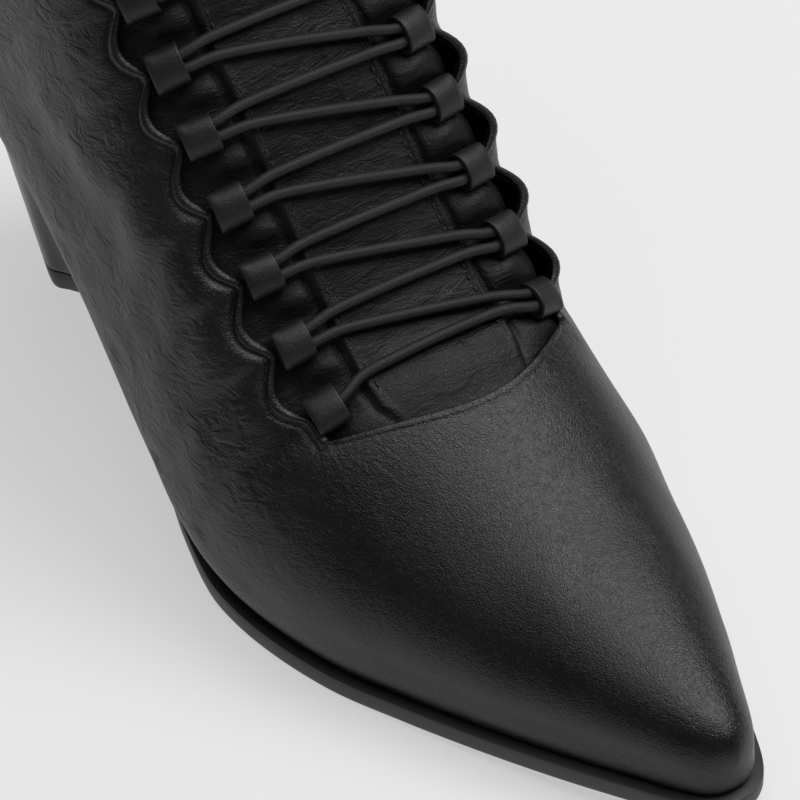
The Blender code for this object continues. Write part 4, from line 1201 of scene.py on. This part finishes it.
@dataclass
class Loops:
    """The folded leather loops along both edges of the throat."""

    last: Last
    width: float = 0.0081
    height: float = 0.0045
    sink: float = 0.0006
    wall: float = 0.00095
    outer_end: float = -0.0008
    inner_end: float = 0.0062

    def ring(self, half_width: float, low: float, high: float, power: float) -> Array:
        """A rounded outline, as pairs along the throat and out of it."""
        angle = np.linspace(0, 2 * np.pi, 40, endpoint=False)
        cosine, sine = np.cos(angle), np.sin(angle)
        power = np.where(sine > 0, power, 3.4)
        x = np.sign(cosine) * abs(cosine) ** (2 / power) * half_width
        middle = low + (high - low) * 0.34
        z = middle + np.sign(sine) * abs(sine) ** (2 / power) * np.where(sine > 0, high - middle, middle - low)
        return np.stack([x, z], axis=-1)

    def profile(self) -> Array:
        """Rings of one loop, from its outer end over the outside to the mouth and back inside."""
        top, low, rim = self.height - self.sink, -self.sink, 0.00066
        start, end = self.outer_end, self.inner_end
        stations = (  # how far in, the underside, the top, and how much wider
            (start + 0.00012, rim + 0.00010, top - 0.00055, -0.00012),
            (start, rim + 0.00002, top - 0.00042, -0.00002),
            (start + 0.0002, rim, top - 0.00030, 0.0),
            (0.0000, rim, top - 0.00010, 0.0),
            (0.0005, low + 0.00025, top, 0.0),
            (0.0020, low, top + 0.00005, 0.00002),
            (0.0042, low, top + 0.00002, 0.0),
            (end - 0.0004, low, top - 0.00005, 0.0),
            (end - 0.0001, low + 0.00003, top - 0.00010, -0.00002),
            (end, low + 0.00012, top - 0.00022, -0.00012),
        )
        half, wall = self.width / 2, self.wall
        rings = [(into, self.ring(half + grow, bottom, high, 2.2)) for into, bottom, high, grow in stations]
        for into, bottom, high, grow in reversed(stations[1:-1]):
            into = min(max(into, start + 0.0001), end - 0.0001)
            rings.append((into, self.ring(half - wall + grow, bottom + wall * 0.8, high - wall, 2.1)))
        return np.array([np.insert(pairs, 0, into, axis=1) for into, pairs in rings])

    def build(self) -> list[tuple[str, Thing]]:
        """One loop is modelled and laid at each cusp, each copy with its own mesh."""
        rings = self.profile()
        closed = np.concatenate([rings, rings[:1]])
        closed = np.concatenate([closed, closed[:, :1]], axis=1)
        made = []
        chance = np.random.default_rng(21)
        for side in SIDES:
            for number in range(self.last.loop_count):
                origin, into, along, out = self.last.loop_frame(number, side)
                shape = closed.copy()
                lean = chance.normal(0, 0.03)
                shape[..., 1] = shape[..., 1] * (1 + chance.normal(0, 0.02)) + lean * (shape[..., 0] - 0.003)
                shape[..., 2] += 0.0001 * chance.normal() * np.sin(shape[..., 1] / self.width * 3)
                spots = origin + shape[..., :1] * into + shape[..., 1:2] * along + shape[..., 2:] * out
                name = f"loop_{side.word}_{number + 1:02d}"
                made.append((name, Modeller.body(f"{name}_band", spots, 50, distance=1e-6)))
        return made

    def dress(self) -> None:
        """Build the loops and give them their leather."""
        band = LeatherFinish(
            "loop_leather",
            colour=(0.0070, 0.0070, 0.0072),
            worn=(0.0120, 0.0118, 0.0115),
            roughness=0.38,
            cell_scale=1900.0,
            grain_depth=0.00003,
            wrinkle_scale=500.0,
            wrinkle_depth=0.00003,
            masked=False,
        ).make()
        for name, loop in self.build():
            Modeller.finish(loop, "loop_leather", (name,), band)


@dataclass
class Lace:
    """One round elastic cord, zig-zag from the lowest outer loop to the highest inner one."""

    last: Last
    loops: Loops
    diameter: float = 0.0022
    turn: float = 0.0015
    ride_height: float = 0.0019
    anchor: float = 0.0032
    clear_of_mouth: float = 0.0068
    bend_depths: tuple[float, float] = (0.0042, 0.0030)
    spacing: float = 0.0007
    passes: int = 14

    def in_frame(self, frame: Array, into: float, along: float, out: float) -> Array:
        """A point given in a loop's own directions."""
        return frame[0] + frame[1] * into + frame[2] * along + frame[3] * out

    def over_tongue(self, place: float, reach: float) -> Array:
        """A point of the cord above the tongue, this far to the outer side of the axis."""
        side = Side.OUTER if reach > self.last.ridge(place)[0] else Side.INNER
        here = float(self.last.round_at(place, reach * side.value, side))
        return self.last.form(place, here, side) + self.last.normal(place, here, side) * self.ride_height

    def mouth(self, number: int, side: Side, turn: float) -> tuple[float, float]:
        """Place and reach where the cord leaves a loop."""
        last = self.last
        place = float(last.place_up(last.loop_start + last.loop_pitch * number + self.turn * turn))
        return place, side.value * (float(last.throat_reach(place, side)) - self.clear_of_mouth)

    def strand(self, start: tuple[float, float], end: tuple[float, float]) -> list[Array]:
        """Points between the mouths of two loops."""
        ways = np.linspace(start, end, 11)[1::2]
        return [self.over_tongue(place, reach) for place, reach in ways]

    def route(self) -> list[Array]:
        """The whole cord's points, along the same way as the solid's."""
        last = self.last
        middle = self.loops.height / 2 - self.loops.sink
        far = self.loops.inner_end + 0.0006
        near, deep = self.bend_depths
        bends = ((far, -1.0), (near, -1.0), (deep, 0.0), (near, 1.0), (far, 1.0))
        inner_last = last.loop_count - 1

        def inside(number: int, side: Side, ways: tuple[tuple[float, float], ...]) -> list[Array]:
            frame = last.loop_frame(number, side)
            return [self.in_frame(frame, into, self.turn * way, middle) for into, way in ways]

        points = inside(0, Side.OUTER, ((self.anchor, 0.0), (far, 0.0)))
        for number in range(last.loop_count):
            points += self.strand(self.mouth(number, Side.OUTER, 1.0), self.mouth(number, Side.INNER, -1.0))
            if number == inner_last:
                break
            points += inside(number, Side.INNER, bends)
            points += self.strand(self.mouth(number, Side.INNER, 1.0), self.mouth(number + 1, Side.OUTER, -1.0))
            points += inside(number + 1, Side.OUTER, bends)
        return points + inside(inner_last, Side.INNER, ((far, 0.0), (self.anchor, 0.0)))

    def build(self) -> Thing:
        """A tube with sixteen sides along the smoothed route."""
        points = np.array(self.route())
        fine = np.linspace(0, len(points) - 1, (len(points) - 1) * 8 + 1)
        line = np.stack([smooth(points[:, axis], fine) for axis in range(3)], axis=-1)
        run = run_along(line)
        even = np.linspace(0, run[-1], int(run[-1] / self.spacing))
        line = np.stack([np.interp(even, run, line[:, axis]) for axis in range(3)], axis=-1)
        for _ in range(self.passes):
            line[1:-1] = (line[:-2] + 2 * line[1:-1] + line[2:]) / 4
        tangent = unit(np.gradient(line, axis=0))
        normal = np.empty_like(line)
        normal[0] = unit(np.cross(tangent[0], ACROSS))
        for index in range(1, len(line)):
            carried = normal[index - 1] - tangent[index] * np.dot(normal[index - 1], tangent[index])
            normal[index] = unit(carried)
        other = np.cross(tangent, normal)
        angle = np.linspace(0, 2 * np.pi, 17)
        ring = normal[:, None] * np.cos(angle)[:, None] + other[:, None] * np.sin(angle)[:, None]
        size = np.full((len(line) + 2, 1, 1), self.diameter / 2)
        size[[0, -1]] = 1e-7
        doubled = np.r_[0, : len(line), len(line) - 1]
        net = line[doubled, None] + ring[doubled] * size
        chart = np.stack(np.broadcast_arrays(angle / (2 * np.pi), even[doubled, None]), axis=-1)
        LOG.info("lace: %.3f m through %d points", run[-1], len(points))
        return Modeller.body("elastic_lace", net, 60, chart, 1e-6)

    def dress(self) -> None:
        """Build the cord and give it its braid."""
        Modeller.finish(self.build(), "elastic", ("lace",), BraidFinish("elastic_braid").make())


# The heel's outline: share of its depth from the back, half widths at the foot and at the seat.
HEEL_OUTLINE = (
    (0.00, 0.00, 0.00), (0.02, 0.36, 0.34), (0.09, 0.68, 0.65), (0.20, 0.88, 0.87),
    (0.33, 0.98, 0.98), (0.42, 1.00, 1.00), (0.50, 0.90, 1.00), (0.64, 0.77, 0.98),
    (0.82, 0.68, 0.96), (0.98, 0.62, 0.93), (1.00, 0.52, 0.84), (0.985, 0.00, 0.00),
)
HEEL_RADIUS = 0.018  # an outline drawn in by this much would be a point
DRAWN_IN = 0.016  # the last ring of an end, before its cap
TOP_PIECE_RINGS = (  # drawn in by, height
    (DRAWN_IN, 0.0), (0.0006, 0.0), (0.00015, 0.00012), (0.0, 0.0005), (0.0, 0.0025),
    (0.0, 0.0046), (0.0002, 0.0049), (0.0005, 0.0050), (DRAWN_IN, 0.0050),
)


@dataclass
class Bottom:
    """Outsole, insole, heel block and wearing piece."""

    last: Last
    ledge: float = 0.0020
    seat_ledge: float = 0.0004
    drop: float = 0.0012
    groove_inset: float = 0.0009
    heel_width: float = 0.0352
    heel_depth: float = 0.0310
    heel_reach: float = 0.0128
    seat_width: float = 0.0500
    seat_depth: float = 0.0496
    top_piece: float = 0.0050
    insole_thickness: float = 0.0026

    def places(self) -> Array:
        """Places of the rows round the bottom."""
        toe = np.linspace(0, 2, 26)[:-1] ** 1.3 / 2**0.3
        body = np.linspace(2, 16, 170)
        seat = 16 + 2 * (1 - (1 - np.linspace(0, 1, 40)[1:]) ** 1.3)
        return np.concatenate([toe, body, seat])

    def band(self, spots: Array, out: Array, height: Array, side: Side, places: Array) -> Array:
        """The base line moved out and set to a height."""
        moved = spots + self.last.plan_normal(places, side) * np.asarray(out)[..., None]
        moved[:, 2] = height
        return moved

    @staticmethod
    def round_body(halves: dict[Side, Array]) -> Array:
        """A net right round a flat body, from its middle over the outer half and back over the inner."""
        outer, inner = halves[Side.OUTER], halves[Side.INNER]
        top, low = ((outer[:, at] + inner[:, at]) / 2 for at in (slice(0, 1), slice(-1, None)))
        return np.concatenate([top, outer, low, inner[:, ::-1], top], axis=1)

    def outsole(self) -> Thing:
        """The sole with its groove, its rounded ledge and a faint line round its side."""
        last = self.last
        places = self.places()
        tread = last.tread(places)
        top = tread + last.sole_at(places)
        ledge = np.interp(places, THIN_AT, (self.ledge, self.seat_ledge))
        inset = 0 * ledge - self.groove_inset
        shelf = top - self.drop
        levels = (  # how far out of the base line, and the height
            (inset - 0.006, top),
            (inset, top),
            (inset, shelf),
            (ledge - 0.00025, shelf),
            (ledge - 0.00008, shelf - 0.00006),
            (ledge, shelf - 0.0002),
            (ledge + 0.00005, tread + (shelf - tread) * 0.70),
            (ledge + 0.00005, tread + 0.0012),
            (ledge - 0.00012, tread + 0.0005),
            (ledge - 0.00045, tread + 0.00012),
            (ledge - 0.0009, tread),
            (ledge - 0.0050, tread),
        )
        halves = {}
        for side in SIDES:
            spots = last.base(places, side)
            halves[side] = np.stack([self.band(spots, out, height, side, places) for out, height in levels], axis=1)
        return Modeller.body("outsole_body", self.round_body(halves), 40)

    def insole(self) -> Thing:
        """The sock that lines the bottom, with a soft edge."""
        last = self.last
        places = self.places()
        inset = -(last.wall + 2 * last.gap)
        rounding = ((-0.004, 1.0), (-0.0012, 1.0), (-0.0004, 0.93), (-0.00005, 0.72), (0.0, 0.4), (0.0, 0.0))
        halves = {}
        for side in SIDES:
            spots = last.base(places, side)
            rings = []
            for shift, share in rounding:
                height = spots[:, 2] + self.insole_thickness * share
                rings.append(self.band(spots, inset + shift + 0 * height, height, side, places))
            halves[side] = np.stack(rings, axis=1)
        return Modeller.body("insole_sock", self.round_body(halves), 50)

    def heel_ring(self, height: float, shrink: float, count: int = 96) -> Array:
        """The heel's outline at a height, closed, with its corners rounded."""
        table = np.array(HEEL_OUTLINE)
        share = min(height / self.last.heel_height, 1.0)
        width = self.heel_width + (self.seat_width - self.heel_width) * share
        depth = self.heel_depth + (self.seat_depth - self.heel_depth) * share
        back = -self.heel_reach + (self.heel_reach - self.last.heel_back + self.seat_ledge) * share
        x = width / 2 * (table[:, 1] + (table[:, 2] - table[:, 1]) * share)
        y = back + depth * table[:, 0]
        steps = np.linspace(0, len(x) - 1, 240)
        fine = np.column_stack([smooth(x, steps, -x[1], -x[-2]), smooth(y, steps, y[1], y[-2])])
        run = run_along(fine)
        even = np.linspace(0, run[-1], count // 2 + 1)
        half = np.column_stack([np.interp(even, run, fine[:, 0]), np.interp(even, run, fine[:, 1])])
        half[0, 0] = half[-1, 0] = 0
        ring = np.concatenate([half, half[-2:0:-1] * (-1, 1), half[:1]])
        middle = ring.mean(axis=0)
        ring = middle + (ring - middle) * (1 - shrink / HEEL_RADIUS)
        return np.column_stack([ring, np.full(len(ring), height)])

    def underside(self, y: Array) -> Array:
        """Height of the sole's underside over a line across the boot."""
        places = np.linspace(self.last.corner, 8, 400)
        line = self.last.base(places, Side.OUTER)[:, 1]
        return np.interp(y, line, self.last.tread(places)) - self.last.gap

    def heel(self) -> Thing:
        """The heel block under the seat."""
        foot, full = self.top_piece + self.last.gap, self.last.heel_height
        levels = [(DRAWN_IN, foot), (0.0005, foot), (0.0001, foot + 0.00012), (0.0, foot + 0.0004)]
        levels += [(0.0, foot + (full - foot) * part) for part in np.linspace(0.03, 1.0, 30)]
        levels += [(0.0005, full + 0.0001), (DRAWN_IN, full + 0.0001)]
        net = np.array([self.heel_ring(height, shrink) for shrink, height in levels])
        net[..., 2] = np.minimum(net[..., 2], self.underside(net[..., 1]) - 0.0001)
        return Modeller.body("heel_block_body", net, 40)

    def wearing_piece(self) -> Thing:
        """The piece under the heel that wears on the floor."""
        net = np.array([self.heel_ring(height, shrink) for shrink, height in TOP_PIECE_RINGS])
        return Modeller.body("heel_top_piece_body", net, 40)

    def dress(self) -> None:
        """Build the pieces of the bottom and give them their finishes."""
        rubber = PlainFinish(
            "sole_rubber", (0.034, 0.033, 0.032), (0.046, 0.045, 0.043), 0.50, 120.0, 1800.0, 0.00003
        ).make()
        lacquer = PlainFinish(
            "heel_lacquer", (0.010, 0.010, 0.010), (0.016, 0.016, 0.016), 0.36, 70.0, 900.0, 0.00003, 0.15
        ).make()
        sock = LeatherFinish(
            "sock_leather", (0.030, 0.028, 0.026), (0.042, 0.039, 0.036), 0.62, 1000.0, masked=False,
            wrinkle_depth=0.00004,
        ).make()
        Modeller.finish(self.outsole(), "sole_rubber", ("outsole",), rubber)
        Modeller.finish(self.insole(), "sock", ("insole",), sock)
        Modeller.finish(self.heel(), "heel_lacquer", ("heel_block",), lacquer)
        Modeller.finish(self.wearing_piece(), "sole_rubber", ("heel_top_piece",), rubber)


LIGHTS = (  # name, place, aim, width and length, brightness
    ("overhead", (-0.15, 0.0, 1.9), (0.0, 0.08, 0.0), (2.0, 2.0), 1.25),
    ("inner_side", (-1.00, 0.42, 1.75), (0.0, 0.08, 0.05), (1.3, 1.5), 3.5),
)
FLOOR = {
    "Base Color": (0.42, 0.42, 0.42, 1.0),
    "Emission Color": (1.0, 1.0, 1.0, 1.0),
    "Emission Strength": 0.50,
    "Roughness": 0.9,
    "Specular IOR Level": 0.1,
}
ROOM_STRENGTH = 0.05


@dataclass
class Studio:
    """Camera, floor and soft lights."""

    azimuth: float = 143.076
    elevation: float = 44.028
    distance: float = 1.200
    target: Triple = (0.005008, 0.104178, 0.040)
    lens: float = 272.74

    @staticmethod
    def hang(name: str, data: bpy.types.ID, place: Vector, aim: Vector) -> Thing:
        """Put a camera or a light somewhere and point it at a spot."""
        thing = bpy.data.objects.new(name, data)
        bpy.context.scene.collection.objects.link(thing)
        thing.location = place
        thing.rotation_mode = "QUATERNION"
        thing.rotation_quaternion = (aim - place).to_track_quat("-Z", "Y")
        return thing

    def camera(self) -> None:
        """The photograph's view, from the toe's outer side and above."""
        turn, rise = math.radians(self.azimuth), math.radians(self.elevation)
        back = Vector((math.sin(turn) * math.cos(rise), -math.cos(turn) * math.cos(rise), math.sin(rise)))
        data = bpy.data.cameras.new("camera")
        data.lens = self.lens
        data.sensor_width = 36.0
        data.clip_start = 0.01
        target = Vector(self.target)
        bpy.context.scene.camera = self.hang("camera", data, target + back * self.distance, target)

    def floor(self) -> None:
        """A plain pale floor that runs out of sight and glows a little, as the photo's shadows are faint."""
        Modeller.clear()
        bpy.ops.mesh.primitive_plane_add(size=8.0, location=(0, 0, 0))
        floor = bpy.context.object
        floor.name = "floor"
        material, sketch, shader = Sketch.begin("pale_floor")
        sketch.feed(shader, FLOOR)
        floor.data.materials.append(material)

    def light(self, name: str, place: Triple, aim: Triple, size: tuple[float, float], radiance: float) -> None:
        """A soft rectangular light given by its brightness."""
        data = bpy.data.lights.new(name, "AREA")
        data.shape = "RECTANGLE"
        data.size, data.size_y = size
        data.energy = radiance * math.pi * size[0] * size[1]
        self.hang(name, data, Vector(place), Vector(aim))

    def set_up(self) -> None:
        """Camera, floor, lights and a dim room."""
        self.camera()
        self.floor()
        for settings in LIGHTS:
            self.light(*settings)
        world = bpy.data.worlds.new("room")
        bpy.context.scene.world = world
        world.use_nodes = True
        ground = world.node_tree.nodes["Background"]
        Sketch(world.node_tree).feed(ground, {"Color": (1.0, 1.0, 1.0, 1.0), "Strength": ROOM_STRENGTH})
        bpy.context.scene.view_settings.view_transform = "Standard"


def main() -> None:
    """Load the frame and dress the boot, logging each piece's face count and the lace's length."""
    logging.basicConfig(level=logging.INFO, format="%(message)s")
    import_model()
    last = Last()
    loops = Loops(last)
    Studio().set_up()
    Upper(last).dress()
    Tongue(last).dress()
    loops.dress()
    Lace(last, loops).dress()
    Bottom(last).dress()


if __name__ == "__main__":
    main()
